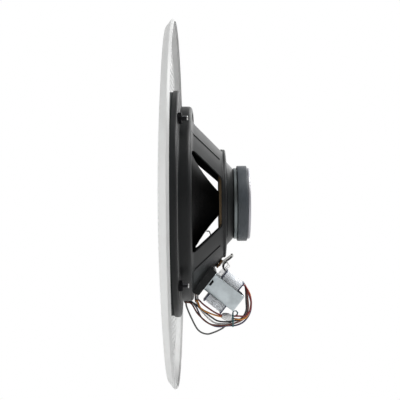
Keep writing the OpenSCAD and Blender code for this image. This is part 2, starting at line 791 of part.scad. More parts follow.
// The two leads from the bobbin's inner flange to the lugs outside
coil_foot = core_z + core_leg + bobbin_gap - glue;
function leaving_foot(y) = [
    pad_point([1.5 - winding_t / 2, y, coil_foot]), pad_point([1.5 - winding_t / 2, y, coil_foot - 1.6])
];
black_short_route = concat(leaving_foot(-7), [
    [48.6, -7.2, -57.6], [49.2, -6.9, -54.6], [51.7, -6.3, -51.9], [54.6, -6.1, -49.6], [57.1, -6, -47.4]
]);
clear_short_route = concat(leaving_foot(7.6), [
    [48.4, 7.4, -57.4], [48.9, 7, -54.2], [51.4, 6.4, -51.7], [54.4, 6.1, -49.7], [57.1, 6, -47.4]
]);

tinsel_d = 1.2;
module tinsel_left() { color("#1e1e1e") tube(tinsel_route(-1), tinsel_d, 6); }
module tinsel_right() { color("#1e1e1e") tube(tinsel_route(1), tinsel_d, 6); }
module lead_orange() { color("darkorange") tube(orange_route, lead_d); }
module lead_red() { color("firebrick") tube(red_route, lead_d); }
module lead_brown() { color("saddlebrown") tube(brown_route, lead_d); }
module lead_black() { color("#1a1a1a") tube(black_route, lead_d); }
module lead_white() { color("whitesmoke") tube(white_route, lead_d); }
module lead_violet() { color("mediumpurple") tube(violet_route, lead_d); }
module lead_grey() { color("gray") tube(grey_route, lead_d); }
module lead_black_short() { color("#1a1a1a") tube(black_short_route, lead_d); }
module lead_clear_short() { color("lightgray") tube(clear_short_route, lead_d); }

// The bared strands at the free end of each lead
lead_routes = [orange_route, red_route, brown_route, black_route, white_route, violet_route, grey_route];
module lead_ends() {
    bare_l = 7;
    strand_d = 0.8;
    color("silver") for (route = lead_routes) {
        last = len(route) - 1;
        t = unit(route[last] - route[last - 1]);
        tube([route[last], route[last] + bare_l * t], strand_d, 6);
    }
}

// A twisted tie: a flat loop round the bundle of leads, its two ends twisted together above it
tie_x = 57;
tie_w = 1.4;
tie_t = 0.5;
tie_z = -105.75;
tie_reach = 2.6;
tie_half_w = 2.8;
module tie_loop(grow) {
    circle_r = tie_half_w + grow;
    translate([0, tie_z]) {
        square([2 * circle_r, 2 * tie_reach], center = true);
        for (z = [-tie_reach, tie_reach]) translate([0, z]) circle(r = circle_r, $fn = 48);
    }
}
module lead_tie() {
    top = tie_z + tie_reach + tie_half_w + tie_t;
    twist_l = 7;
    color("teal") {
        across(tie_x - tie_w / 2, tie_x + tie_w / 2) difference() {
            tie_loop(tie_t);
            tie_loop(0);
        }
        translate([tie_x, 0, top - tie_t]) rotate([0, 25, 0]) cylinder(d = tie_w, h = twist_l, $fn = 24);
    }
}

grille();
grille_studs();
foam_ring();
stud_nuts();
gasket();
basket();
surround();
cone();
dust_cap();
coil_former();
voice_coil();
spider();
top_plate();
magnet();
back_plate();
pole_piece();
plate_rivets();
terminal_board();
terminal_lugs();
terminal_rivet();
tinsel_left();
tinsel_right();
transformer_core();
bobbin();
winding();
film_wrap();
bracket();
bracket_screws();
lead_orange();
lead_red();
lead_brown();
lead_black();
lead_white();
lead_violet();
lead_grey();
lead_black_short();
lead_clear_short();
lead_ends();
lead_tie();
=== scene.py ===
"""The looks of a ceiling loudspeaker: an 8 inch driver behind a round perforated grille, with a transformer.

The driver's axis runs along X. The grille faces -X, the magnet points to +X and +Z is up. The camera looks
along +Y.
"""

import math
import random

import bmesh
import bpy
from mathutils import Matrix, Vector
from mathutils.geometry import delaunay_2d_cdt


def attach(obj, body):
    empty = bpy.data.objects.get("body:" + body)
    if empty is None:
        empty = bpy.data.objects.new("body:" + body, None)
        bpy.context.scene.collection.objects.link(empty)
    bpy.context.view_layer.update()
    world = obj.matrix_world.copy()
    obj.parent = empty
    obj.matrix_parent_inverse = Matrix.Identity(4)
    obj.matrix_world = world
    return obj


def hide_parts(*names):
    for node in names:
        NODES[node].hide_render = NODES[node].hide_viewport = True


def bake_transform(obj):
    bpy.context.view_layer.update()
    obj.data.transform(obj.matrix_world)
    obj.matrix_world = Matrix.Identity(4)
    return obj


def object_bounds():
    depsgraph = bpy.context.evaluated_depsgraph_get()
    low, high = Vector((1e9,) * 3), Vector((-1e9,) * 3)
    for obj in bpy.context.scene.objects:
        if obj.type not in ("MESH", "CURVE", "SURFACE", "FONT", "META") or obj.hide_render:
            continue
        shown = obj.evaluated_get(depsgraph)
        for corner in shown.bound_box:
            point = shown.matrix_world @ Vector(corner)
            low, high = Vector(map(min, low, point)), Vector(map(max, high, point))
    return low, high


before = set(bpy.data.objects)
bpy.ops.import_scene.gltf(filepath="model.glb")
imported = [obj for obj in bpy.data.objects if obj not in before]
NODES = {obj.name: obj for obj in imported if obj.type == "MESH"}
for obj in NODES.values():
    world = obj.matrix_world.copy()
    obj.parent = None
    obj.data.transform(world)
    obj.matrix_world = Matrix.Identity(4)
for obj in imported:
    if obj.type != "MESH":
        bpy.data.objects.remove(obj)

CAD_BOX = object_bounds()
MM = 0.001
FRAME_BODY = "frame"
MOVING_BODY = "cone_assembly"
X_WAY, Y_WAY = Vector((1, 0, 0)), Vector((0, 1, 0))


# Camera

PICTURE_PIXELS = 400
FOCAL_PIXELS = 772
CAMERA_PLACE = (35.8 * MM, -700 * MM, -17.8 * MM)
CAMERA_YAW, CAMERA_PITCH, CAMERA_ROLL = (math.radians(a) for a in (-0.63, 1.73, -0.42))


def make_camera():
    data = bpy.data.cameras.new("camera")
    data.sensor_width = 36
    data.lens = data.sensor_width * FOCAL_PIXELS / PICTURE_PIXELS
    data.clip_start = 0.01
    obj = bpy.data.objects.new("camera", data)
    bpy.context.scene.collection.objects.link(obj)
    obj.matrix_world = (
        Matrix.Translation(CAMERA_PLACE)
        @ Matrix.Rotation(-CAMERA_YAW, 4, "Z")
        @ Matrix.Rotation(math.radians(90) + CAMERA_PITCH, 4, "X")
        @ Matrix.Rotation(CAMERA_ROLL, 4, "Z")
    )
    bpy.context.scene.camera = obj


make_camera()


# Sizes, in millimetres, as in the CAD model

GRILLE_R = 163.5
GRILLE_T = 1.0
FACE_R = 157.5
DOME_RISE = 7.5
SCREW_R = 144.0
SCREW_HOLE_R = 2.5
DOME_R = (FACE_R**2 + DOME_RISE**2) / (2 * DOME_RISE)


def dome_drop(r, sphere_r=DOME_R):
    return sphere_r - math.sqrt(sphere_r**2 - r**2)


DOME_X = -GRILLE_T / 2 - dome_drop(SCREW_R)
BEVEL_X = DOME_X + DOME_RISE
RIM_X = BEVEL_X + 5.0
RIM_BACK = RIM_X + 2.5
SLOPE_X, SLOPE_R = 22.6, 81.0
SLOPE_END_X, SLOPE_END_R = 47.3, 50.1
SLOPE_ANGLE = math.atan2(SLOPE_R - SLOPE_END_R, SLOPE_END_X - SLOPE_X)


# Small mesh tools


def smooth_up_to(mesh, angle):
    """Smooth shading, with the edges sharper than the angle, in degrees, kept sharp."""
    for face in mesh.polygons:
        face.use_smooth = True
    mesh.set_sharp_from_angle(angle=math.radians(angle))


def new_object(name, bm, angle=40):
    mesh = bpy.data.meshes.new(name)
    bmesh.ops.recalc_face_normals(bm, faces=bm.faces)
    bm.to_mesh(mesh)
    bm.free()
    smooth_up_to(mesh, angle)
    obj = bpy.data.objects.new(name, mesh)
    bpy.context.scene.collection.objects.link(obj)
    return obj


def mm(points):
    return [Vector(p) * MM for p in points]


def vectors(*points):
    return [Vector(p) for p in points]


def outwards(angle):
    """The direction away from the X axis, at an angle from the top round towards the camera."""
    return Vector((0, -math.sin(angle), math.cos(angle)))


def skin(bm, rings, closed=True, around=False, ends=False):
    """Joins rings of vertices by faces.

    A ring closes on itself if closed, the last ring meets the first if around, and both ends get a lid
    if ends.
    """
    count = len(rings[0])
    following = rings[1:] + rings[:1] if around else rings[1:]
    for here, there in zip(rings, following):
        for k in range(count if closed else count - 1):
            n = (k + 1) % count
            bm.faces.new((here[k], here[n], there[n], there[k]))
    if ends:
        bm.faces.new(reversed(rings[0]))
        bm.faces.new(rings[-1])


def turn(bm, profile, steps):
    """Turns a closed profile of (radius, place along X), in millimetres, round the X axis."""
    corners = [bm.verts.new((x * MM, 0, r * MM)) for r, x in profile]
    edges = [bm.edges.new(pair) for pair in zip(corners, corners[1:] + corners[:1])]
    bmesh.ops.spin(
        bm, geom=corners + edges, cent=(0, 0, 0), axis=X_WAY, angle=2 * math.pi, steps=steps, use_merge=True
    )


def heading(centres, i):
    """The direction of a run of points at its point i."""
    return (centres[min(i + 1, len(centres) - 1)] - centres[max(i - 1, 0)]).normalized()


def sweep(bm, centres, section):
    """Sweeps a closed section, a list of (across, up) pairs, along the centres without twisting it."""
    rings = []
    side = None
    for i, c in enumerate(centres):
        t = heading(centres, i)
        side = (t.cross(Y_WAY) if side is None else side - t * side.dot(t)).normalized()
        over = t.cross(side)
        rings.append([bm.verts.new(c + side * a + over * b) for a, b in section])
    skin(bm, rings, ends=True)


def circle(r, count=12):
    return [
        (r * math.cos(2 * math.pi * k / count), r * math.sin(2 * math.pi * k / count)) for k in range(count)
    ]


def smooth_route(points, per_span=6):
    """A Catmull-Rom curve through the points."""
    p = [2 * points[0] - points[1]] + list(points) + [2 * points[-1] - points[-2]]
    out = []
    for i in range(1, len(p) - 2):
        for s in range(per_span):
            t = s / per_span
            a, b, c, d = p[i - 1 : i + 3]
            square, cube = 2 * a - 5 * b + 4 * c - d, 3 * b - a - 3 * c + d
            out.append(0.5 * (2 * b + (c - a) * t + square * t**2 + cube * t**3))
    return out + [p[-2]]


def rounded(profile, radius, steps=4):
    """Rounds the corners of a closed profile, by one radius or by a list with one for each corner."""
    out = []
    count = len(profile)
    for i in range(count):
        a, b, c = (Vector(profile[(i + k) % count]) for k in (-1, 0, 1))
        wanted = radius[i] if isinstance(radius, list) else radius
        cut = min(wanted, (a - b).length * 0.45, (c - b).length * 0.45)
        p, q = b + (a - b).normalized() * cut, b + (c - b).normalized() * cut
        for s in range(steps + 1):
            t = s / steps
            v = (1 - t) ** 2 * p + 2 * t * (1 - t) * b + t * t * q
            out.append((v.x, v.y))
    return out


# Shader tools


class Value:
    """A socket with the maths operators that make Math nodes, on sockets and plain numbers alike."""

    def __init__(self, nodes, socket):
        self.nodes, self.socket = nodes, socket

    def maths(self, operation, *others):
        return self.nodes.node("ShaderNodeMath", dict(enumerate((self, *others))), operation=operation)

    def __add__(self, other):
        return self.maths("ADD", other)

    def __mul__(self, other):
        return self.maths("MULTIPLY", other)

    __radd__ = __add__
    __rmul__ = __mul__

    def power(self, other):
        return self.maths("POWER", other)

    def sine(self):
        return self.maths("SINE")

    def step(self, low, high):
        """0 below low, 1 above high and smooth between them."""
        return self.nodes.node(
            "ShaderNodeMapRange", {0: self, 1: low, 2: high}, interpolation_type="SMOOTHSTEP"
        )


class Nodes:
    """A node tree, and a short way to add a node with its settings and the values or links of its sockets."""

    def __init__(self, tree):
        self.tree = tree

    def link(self, value, socket):
        if isinstance(value, Value):
            self.tree.links.new(value.socket, socket)
        else:
            socket.default_value = value

    def node(self, kind, inputs=None, output=0, **properties):
        made = self.tree.nodes.new(kind)
        for key, value in properties.items():
            setattr(made, key, value)
        for key, value in (inputs or {}).items():
            self.link(value, made.inputs[key])
        return Value(self, made.outputs[output])

    def between(self, factor, low, high):
        return self.node("ShaderNodeMapRange", {0: factor, 3: low, 4: high})


class Shader(Nodes):
    """A material with a Principled shader, and names for the patterns that the finishes use."""

    def __init__(self, name, color, roughness=0.5, metallic=0.0, **settings):
        self.material = bpy.data.materials.new(name)
        self.material.use_nodes = True
        super().__init__(self.material.node_tree)
        self.main = self.tree.nodes["Principled BSDF"]
        self.set("Base Color", (*color, 1))
        self.set("Roughness", roughness)
        self.set("Metallic", metallic)
        for key, value in settings.items():
            self.set(key.replace("_", " ").title().replace("Ior", "IOR"), value)

    def set(self, name, value):
        self.link(value, self.main.inputs[name])

    def place(self):
        return self.node("ShaderNodeTexCoord", output="Object")

    def axis(self, name):
        return self.node("ShaderNodeSeparateXYZ", {0: self.place()}, output=name)

    def radius(self):
        """The distance from the X axis, in metres."""
        y, z = self.axis("Y"), self.axis("Z")
        return (y * y + z * z).power(0.5)

    def noise(self, scale, detail=3.0, roughness=0.5, vector=None):
        return self.node(
            "ShaderNodeTexNoise",
            {"Vector": vector or self.place(), "Scale": scale, "Detail": detail, "Roughness": roughness},
        )

    def stretched(self, x, y, z):
        return self.node("ShaderNodeMapping", {"Vector": self.place(), "Scale": (x, y, z)})

    def cells(self, scale):
        return self.node("ShaderNodeTexVoronoi", {"Vector": self.place(), "Scale": scale})

    def mix(self, factor, a, b):
        """The colour a where factor is 0 and b where it is 1."""
        return self.node("ShaderNodeMix", {0: factor, 6: (*a, 1), 7: (*b, 1)}, output=2, data_type="RGBA")

    def bump(self, height, distance, strength=1.0):
        inputs = {"Height": height, "Distance": distance, "Strength": strength}
        self.set("Normal", self.node("ShaderNodeBump", inputs))


def give(obj, shader):
    obj.data.materials.clear()
    obj.data.materials.append(shader.material)


def add_piece(bm, name, shader, slot, replaced=None, body=FRAME_BODY, angle=40):
    """Adds a piece that rides on a body, in the place of a CAD node where one is named."""
    obj = new_object(name, bm, angle)
    give(obj, shader)
    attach(obj, body)
    if replaced:
        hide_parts(replaced)
    return obj


def add_bending_piece(bm, name, shader, replaced, angle=40):
    """Adds a soft piece in the place of a CAD node, its placement applied to its mesh."""
    obj = new_object(name, bm, angle)
    give(obj, shader)
    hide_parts(replaced)
    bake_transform(obj)


# Materials


def enamel():
    """Off-white stoving enamel on steel, with a fine orange peel and a little dust."""
    s = Shader("grille enamel", (0.5, 0.5, 0.49), 0.45, coat_weight=0.1, coat_roughness=0.35)
    dust = s.noise(60, 4, 0.6).step(0.45, 0.75)
    s.set("Base Color", s.mix(dust * 0.35, (0.57, 0.575, 0.57), (0.5, 0.49, 0.475)))
    s.set("Roughness", s.between(s.noise(25, 2), 0.38, 0.5))
    s.bump(s.noise(1400, 2), 0.00004, 0.5)
    return s


def black_paint():
    """Satin black paint on pressed steel, rubbed a little and dusty on top."""
    s = Shader("basket paint", (0.008, 0.009, 0.01), 0.4, specular_ior_level=0.28)
    wear = s.noise(90, 5, 0.65).step(0.55, 0.8)
    s.set("Base Color", s.mix(wear * 0.5, (0.008, 0.009, 0.0095), (0.024, 0.024, 0.023)))
    s.set("Roughness", s.between(s.noise(40, 3), 0.33, 0.48))
    s.bump(s.noise(900, 3), 0.00006, 0.5)
    return s


def steel(name, color, roughness, scale=300, streak=(1, 1, 1)):
    """Plated or bare steel with fine tool marks along one direction."""
    s = Shader(name, color, roughness, 1.0)
    marks = s.noise(scale, 3, 0.6, s.stretched(*streak))
    tint = tuple(c * 0.72 for c in color)
    s.set("Base Color", s.mix(s.noise(35, 4, 0.6).step(0.4, 0.7), color, tint))
    s.set("Roughness", s.between(marks, roughness * 0.75, roughness * 1.35))
    s.bump(marks, 0.00003, 0.4)
    return s


def turned_steel(name, color, roughness):
    """Bright plate on a turned face, with rings about the X axis."""
    s = Shader(name, color, roughness, 1.0)
    rings = (s.radius() * 9000).sine()
    stain = s.noise(45, 4, 0.6).step(0.42, 0.72)
    stained = tuple(c * k for c, k in zip(color, (0.8, 0.78, 0.7)))
    s.set("Base Color", s.mix(stain * 0.5, color, stained))
    s.set("Roughness", s.between(s.noise(120, 3), roughness * 0.7, roughness * 1.4))
    s.bump(rings, 0.000015, 0.35)
    return s


def ferrite():
    """Ground ferrite: dark blue-grey, with chips and a fine sparkle."""
    s = Shader("ferrite", (0.075, 0.085, 0.095), 0.5, coat_weight=0.1)
    chips = s.cells(420).step(0.0, 0.35)
    s.set("Base Color", s.mix(s.noise(160, 5, 0.65), (0.028, 0.035, 0.042), (0.062, 0.074, 0.085)))
    s.set("Roughness", s.between(s.noise(300, 3), 0.4, 0.62))
    s.bump(chips + s.noise(1500, 3), 0.00008, 0.4)
    return s


def board(name, dark, light, layers=True):
    """Pressed paper board: fibres, and layers seen at its edge."""
    s = Shader(name, dark, 0.85, specular_ior_level=0.2)
    fibre = s.noise(500, 5, 0.7, s.stretched(2.5, 1, 1))
    layer = s.noise(2600, 2, 0.5, s.stretched(1, 0.04, 0.04)) if layers else fibre
    s.set("Base Color", s.mix(layer * 0.6 + fibre * 0.4, dark, light))
    s.bump(fibre + layer, 0.0001, 0.5)
    return s


def foam():
    """Dark foam with open pores."""
    s = Shader("foam", (0.03, 0.033, 0.034), 0.95)
    pores = s.cells(900)
    s.set("Base Color", s.mix(pores.step(0.1, 0.7), (0.012, 0.013, 0.014), (0.06, 0.064, 0.066)))
    s.bump(pores, 0.0003, 0.8)
    return s


def cone_paper():
    """Black felted paper with faint pressed rings and loose fibres."""
    s = Shader("cone paper", (0.016, 0.016, 0.017), 0.82)
    felt = s.noise(650, 6, 0.75)
    rings = (s.radius() * 1500).sine()
    s.set("Base Color", s.mix(felt.step(0.45, 0.8), (0.012, 0.012, 0.013), (0.045, 0.044, 0.043)))
    s.bump(felt + rings * 0.25, 0.00012, 0.6)
    return s


def cloth(name, dark, light, threads, roughness=0.8):
    """Woven cloth wrapped round the X axis: threads along the radius and round it."""
    s = Shader(name, dark, roughness, sheen_weight=0.2, sheen_roughness=0.5)
    across = (s.axis("Y").maths("ARCTAN2", s.axis("Z")) * 0.035 * threads).sine()
    along = ((s.radius() + s.axis("X") * 0.4) * threads).sine()
    weave = across * along
    stain = s.noise(120, 4, 0.6)
    s.set("Base Color", s.mix(weave.step(-0.7, 0.8) * 0.6 + stain * 0.4, dark, light))
    s.bump(weave, 0.00012, 0.6)
    return s


def plastic(name, color, roughness=0.32, mottled=0.12):
    """Extruded or moulded plastic with faint flow marks."""
    s = Shader(name, color, roughness, coat_weight=0.2, coat_roughness=0.2)
    flow = s.noise(240, 3)
    dark = tuple(c * (1 - mottled) for c in color)
    light = tuple(min(1, c * (1 + mottled)) for c in color)
    s.set("Base Color", s.mix(flow, dark, light))
    s.set("Roughness", s.between(flow, roughness * 0.8, roughness * 1.25))
    s.bump(s.noise(900, 2), 0.00003, 0.3)
    return s


def clear_film():
    """Thin clear film: mostly see-through, with bright folds."""
    s = Shader("clear film", (0.9, 0.93, 0.96), 0.12, specular_ior_level=0.9)
    s.set("Alpha", s.between(s.noise(220, 2).step(0.45, 0.75), 0.2, 0.5))
    s.bump(s.noise(260, 2, 0.5), 0.0004, 0.6)
    return s


ENAMEL = enamel()
BLACK_PAINT = black_paint()
# The dark strips in the spokes' beads are painted shade, not a paint of their own.
PAINTED_GROOVE_SHADE = board("painted groove shade", (0.004, 0.0042, 0.0045), (0.008, 0.008, 0.0085), False)
BLACK_STEEL = steel("black oxide", (0.012, 0.012, 0.013), 0.42)
DARK_STUD = steel("stud steel", (0.035, 0.035, 0.038), 0.4)
BRIGHT_STEEL = steel("cut steel", (0.7, 0.7, 0.69), 0.28)
# Painted shade: the front plate, pole piece and rivets have the rear plate's zinc plating, painted darker.
SHADED_ZINC = turned_steel("zinc plate in painted shade", (0.2, 0.225, 0.23), 0.4)
BACK_ZINC = turned_steel("rear plate zinc", (0.5, 0.5, 0.53), 0.5)
BRACKET_ZINC = steel("bracket zinc", (0.7, 0.765, 0.79), 0.42, 180, (1, 1, 3))
CORE_STEEL = steel("core steel", (0.4, 0.42, 0.43), 0.45, 500, (1, 6, 1))
TIN = steel("tin", (0.78, 0.77, 0.74), 0.25, 400)
COPPER = steel("copper", (0.8, 0.42, 0.24), 0.3, 900)
FERRITE = ferrite()
GASKET_BOARD = board("gasket board", (0.008, 0.0105, 0.0095), (0.026, 0.031, 0.028))
FIBRE_BOARD = board("fibre board", (0.12, 0.06, 0.03), (0.24, 0.13, 0.06), False)
FORMER_PAPER = board("former paper", (0.4, 0.29, 0.16), (0.55, 0.42, 0.25), False)
WINDING_PAPER = board("winding paper", (0.72, 0.75, 0.79), (0.86, 0.88, 0.9), False)
FOAM = foam()
CONE_PAPER = cone_paper()
SURROUND_CLOTH = cloth("surround cloth", (0.012, 0.012, 0.012), (0.04, 0.04, 0.04), 9000, 0.6)
SPIDER_CLOTH = cloth("spider cloth", (0.085, 0.05, 0.022), (0.24, 0.16, 0.075), 7000)
TINSEL_BRAID = plastic("tinsel braid", (0.03, 0.03, 0.032), 0.8, 0.4)
BOBBIN_NYLON = plastic("bobbin nylon", (0.03, 0.037, 0.09), 0.4)
FILM = clear_film()
LEAD_COLOURS = {
    "orange": (0.6, 0.23, 0.015),
    "red": (0.2, 0.012, 0.016),
    "brown": (0.13, 0.025, 0.01),
    "black": (0.014, 0.014, 0.015),
    "white": (0.8, 0.8, 0.79),
    "violet": (0.03, 0.02, 0.07),
    "grey": (0.1, 0.105, 0.1),
    "clear": (0.6, 0.6, 0.56),
    "teal": (0.01, 0.1, 0.11),
}
LEAD_PLASTIC = {name: plastic(name + " insulation", color) for name, color in LEAD_COLOURS.items()}


# Leads

LEAD_D = 1.5
# The pad on the basket's slope, and the transformer's frame on it: X down the slope, Y across, Z out
PAD_AT = 0.3996
PAD_H = 2.9
TRANSFORMER_UP = 2.2
PAD_CENTRE = Vector((
    SLOPE_X + PAD_AT * (SLOPE_END_X - SLOPE_X), 0, -(SLOPE_R - PAD_AT * (SLOPE_R - SLOPE_END_R))
))


def pad_point(x, y, z):
    """A point of the transformer's frame, as a place in millimetres."""
    x, z = x - TRANSFORMER_UP, z + PAD_H
    c, s = math.cos(SLOPE_ANGLE), math.sin(SLOPE_ANGLE)
    return PAD_CENTRE + Vector((-x * c + z * s, y, -x * s - z * c))


CORE_Z = 1.0
CORE_H = 31.0
CORE_W = 34.0
CORE_T = 14.6
CORE_LEG = 5.5
CORE_TOP = CORE_Z + CORE_H
WINDING_T = 34.0
BOBBIN_PLAY = 0.3
BOBBIN_Z1, BOBBIN_Z2 = CORE_Z + CORE_LEG + BOBBIN_PLAY, CORE_TOP - CORE_LEG - BOBBIN_PLAY
LEAD_INSET, LEAD_RISE = 1.5, 3.0
CUP_R = 87.6
CUP_TOUCH = CUP_R + LEAD_D / 2 + 0.6


def leaving(y):
    """Two points on a lead's way out of the coil, on the magnet's side of the bobbin."""
    x = LEAD_INSET - WINDING_T / 2
    return [pad_point(x, y, BOBBIN_Z2), pad_point(x, y, BOBBIN_Z2 + LEAD_RISE)]


def lapped(x, r, y):
    """Four points round the far side of the basket, at place x and radius r."""
    first = Vector((x + 0.5, y + 2, -math.sqrt(r * r - (y + 2) ** 2)))
    turns = [math.radians(a) for a in (12, 22, 32)]
    return [first] + [Vector((x, r * math.sin(a), -r * math.cos(a))) for a in turns]


ROUTES = {
    "orange": leaving(-5.5) + vectors(
        (72.5, -5.3, -82.5), (73, -4.5, -91.5), (70.5, -4.8, -100), (65.5, -3.8, -104), (57, -0.6, -103.9),
        (49, -2, -102.5), (38, -2.5, -99.5), (28.5, -3, -94.5), (25.4, -3, -88.3),
    ) + lapped(23.5, 86.4, -3),
    "red": leaving(-8) + vectors(
        (73, -7.5, -86), (72.5, -6.5, -95), (68.5, -6.3, -100.6), (61.5, -2.2, -101.5), (54.5, 0, -101.5),
        (46.5, -3, -100.4), (39.5, -5, -97), (30.5, -5, -90.5), (27, -5, -87),
    ) + lapped(25.2, 86.2, -5),
    "brown": leaving(-3) + vectors(
        (70.5, -3, -87), (70.5, -2.8, -96), (67.5, -2.2, -103), (61, -1.5, -106.8), (52.5, -2, -109.4),
        (41, -1.6, -109.5), (34.5, -1.5, -107.5), (25.5, -1, -99.5), (20, -1, -90.5), (16, -1, -CUP_TOUCH),
    ) + lapped(13.2, CUP_TOUCH, -1),
    "black": leaving(0) + vectors(
        (69, 0, -87.5), (69, -0.2, -96.5), (65.3, -0.3, -103.1), (59, -0.9, -105.7), (51, -1, -106.6),
        (43.5, 0, -106), (37.5, 0.6, -102.5), (29, 1, -96), (22, 1, -90), (18, 1, -CUP_TOUCH),
    ) + lapped(15.2, CUP_TOUCH, 1),
    "white": leaving(3) + vectors(
        (71, 3, -89.5), (70.5, 2.6, -98.5), (65.5, 1.4, -105.6), (59, 0.3, -108.2), (53, 0.2, -108.4),
        (42, 1.4, -108.3), (34.5, 2.5, -103.5), (27.5, 3, -95.5), (24.6, 3, -90),
    ) + lapped(22.9, 88.4, 3),
    "violet": leaving(6) + vectors(
        (73.5, 6, -88.5), (73, 5, -98.5), (67.5, 2.4, -106.5), (60.5, 0, -109.8), (53, 0.2, -110.4),
        (41, 2.4, -111), (29.5, 4.5, -104.5), (24, 4, -94), (20, 3.2, -CUP_TOUCH),
    ) + lapped(17.2, CUP_TOUCH, 3.2),
    "grey": leaving(9) + vectors(
        (70, 8.5, -90), (69.5, 6.5, -99.5), (64, 3, -104.6), (56, 1.9, -106.8), (51.5, 2.6, -109.6),
        (47.5, 2.6, -113), (40, 2.4, -116.5), (33, 2.3, -118), (25.5, 2.5, -114.3), (19.5, 2.5, -103.5),
        (15.5, 2.5, -94),
    ) + lapped(14.2, CUP_TOUCH + 1.9, 2.5),
}
BARE_L = 7.0
STRAND_R, STRAND_LAY_R, STRAND_STEPS = 0.13, 0.27, 14


def make_lead(name, route):
    centres = mm(smooth_route(route))
    bm = bmesh.new()
    sweep(bm, centres, circle(LEAD_D / 2 * MM, 14))
    obj = add_piece(bm, "lead_" + name + "_wire", LEAD_PLASTIC[name], name + "_plastic", "lead_" + name)
    tip = strands(name, centres[-1], (centres[-1] - centres[-2]).normalized())
    return tip


def strands(name, start, direction):
    """Seven twisted copper strands at a lead's bared end: one in the middle and six round it."""
    bm = bmesh.new()
    side = direction.cross(X_WAY).normalized()
    over = direction.cross(side)
    inside = 0.5
    for k in range(7):
        reach = STRAND_LAY_R * MM if k else 0
        centres = []
        for i in range(STRAND_STEPS + 1):
            twist = 2 * math.pi * (k / 6 + i / STRAND_STEPS)
            away = reach * (math.cos(twist) * side + math.sin(twist) * over)
            centres.append(start + direction * (BARE_L * i / STRAND_STEPS - inside) * MM + away)
        sweep(bm, centres, circle(STRAND_R * MM, 6))
    return add_piece(bm, "lead_" + name + "_strands", COPPER, "copper_wire")


TIPS = [make_lead(name, route) for name, route in ROUTES.items()]
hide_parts("lead_ends")


# Turned pieces

FLANGE_X = 11.17
STUD_R, STUD_D = 97.0, 4.2
NUT_W, NUT_H = 8.7, 3.3
DIAGONALS = [math.radians(a) for a in (45, 135, 225, 315)]


def top_of(node):
    """The farthest place of a CAD node along X, in millimetres."""
    return max(v.co.x for v in NODES[node].data.vertices) / MM


def foot_of(node):
    """The nearest place of a CAD node along X, in millimetres."""
    return min(v.co.x for v in NODES[node].data.vertices) / MM


def radii_of(node):
    """The distances of a CAD node's points from the X axis, in millimetres."""
    return [math.hypot(v.co.y, v.co.z) / MM for v in NODES[node].data.vertices]


def round_stud(bm, profile_at, steps, angle, closed):
    """Skins the profiles of (radius, place along X) that a function gives round one stud's axis."""
    centre = outwards(angle) * STUD_R
    rings = []
    for i in range(steps):
        a = 2 * math.pi * i / steps
        rings.append([bm.verts.new((centre + outwards(a) * r + X_WAY * x) * MM) for r, x in profile_at(a)])
    skin(bm, rings, closed=closed, around=True)


def make_studs():
    """Threaded studs with a chamfered tip, cut bright at the end."""
    start, end = foot_of("grille_studs"), top_of("grille_studs")
    pitch, depth, per_turn = 0.7, 0.32, 5
    plain, run_in = 4.5, 0.5
    tip_l, tip_slope, bright_l = 0.7, 0.9, 0.9
    axis_r = 0.01
    thread_l = end - start - plain
    count = int(thread_l / pitch * per_turn)

    def profile_at(a):
        points = [(axis_r, start), (STUD_D / 2, start)]
        for i in range(count + 1):
            x = start + plain + thread_l * i / count
            phase = ((x / pitch) + a / (2 * math.pi)) % 1
            cut = depth * (1 - abs(2 * phase - 1)) * min(1, (x - start - plain) / run_in)
            tip = max(0.0, x - (end - tip_l))
            points.append((STUD_D / 2 - max(cut, tip * tip_slope), x))
        return points + [(axis_r, end)]

    bm = bmesh.new()
    for angle in DIAGONALS:
        round_stud(bm, profile_at, 20, angle, closed=False)
    obj = add_piece(bm, "threaded_studs", DARK_STUD, "stud_steel", "grille_studs", angle=50)
    obj.data.materials.append(BRIGHT_STEEL.material)
    for face in obj.data.polygons:
        if min(obj.data.vertices[i].co.x for i in face.vertices) > (end - bright_l) * MM:
            face.material_index = 1


def make_nuts():
    """Hexagon nuts with both faces chamfered."""
    face_r, slope, steps = NUT_W / 2 * 0.97, 1.73, 5
    bore_r, bore_cut = STUD_D / 2 + 0.04, 0.4
    deep = (NUT_W / math.sqrt(3) - face_r) / slope
    near = [deep * k / steps for k in range(steps + 1)]
    levels = near + [NUT_H - h for h in reversed(near)]

    def profile_at(a):
        hexagon_r = NUT_W / 2 / math.cos((a + math.pi / 6) % (math.pi / 3) - math.pi / 6)
        outside = [(min(hexagon_r, face_r + slope * min(h, NUT_H - h)), FLANGE_X + h) for h in levels]
        bore = [(bore_r + bore_cut, NUT_H), (bore_r, NUT_H - bore_cut), (bore_r, 0)]
        return outside + [(r, FLANGE_X + h) for r, h in bore]

    bm = bmesh.new()
    for angle in DIAGONALS:
        round_stud(bm, profile_at, 72, angle, closed=True)
    add_piece(bm, "chamfered_nuts", BLACK_STEEL, "black_steel", "stud_nuts", angle=25)


BEAD_DEPTH, BEAD_HALF_W = 0.35, 1.15


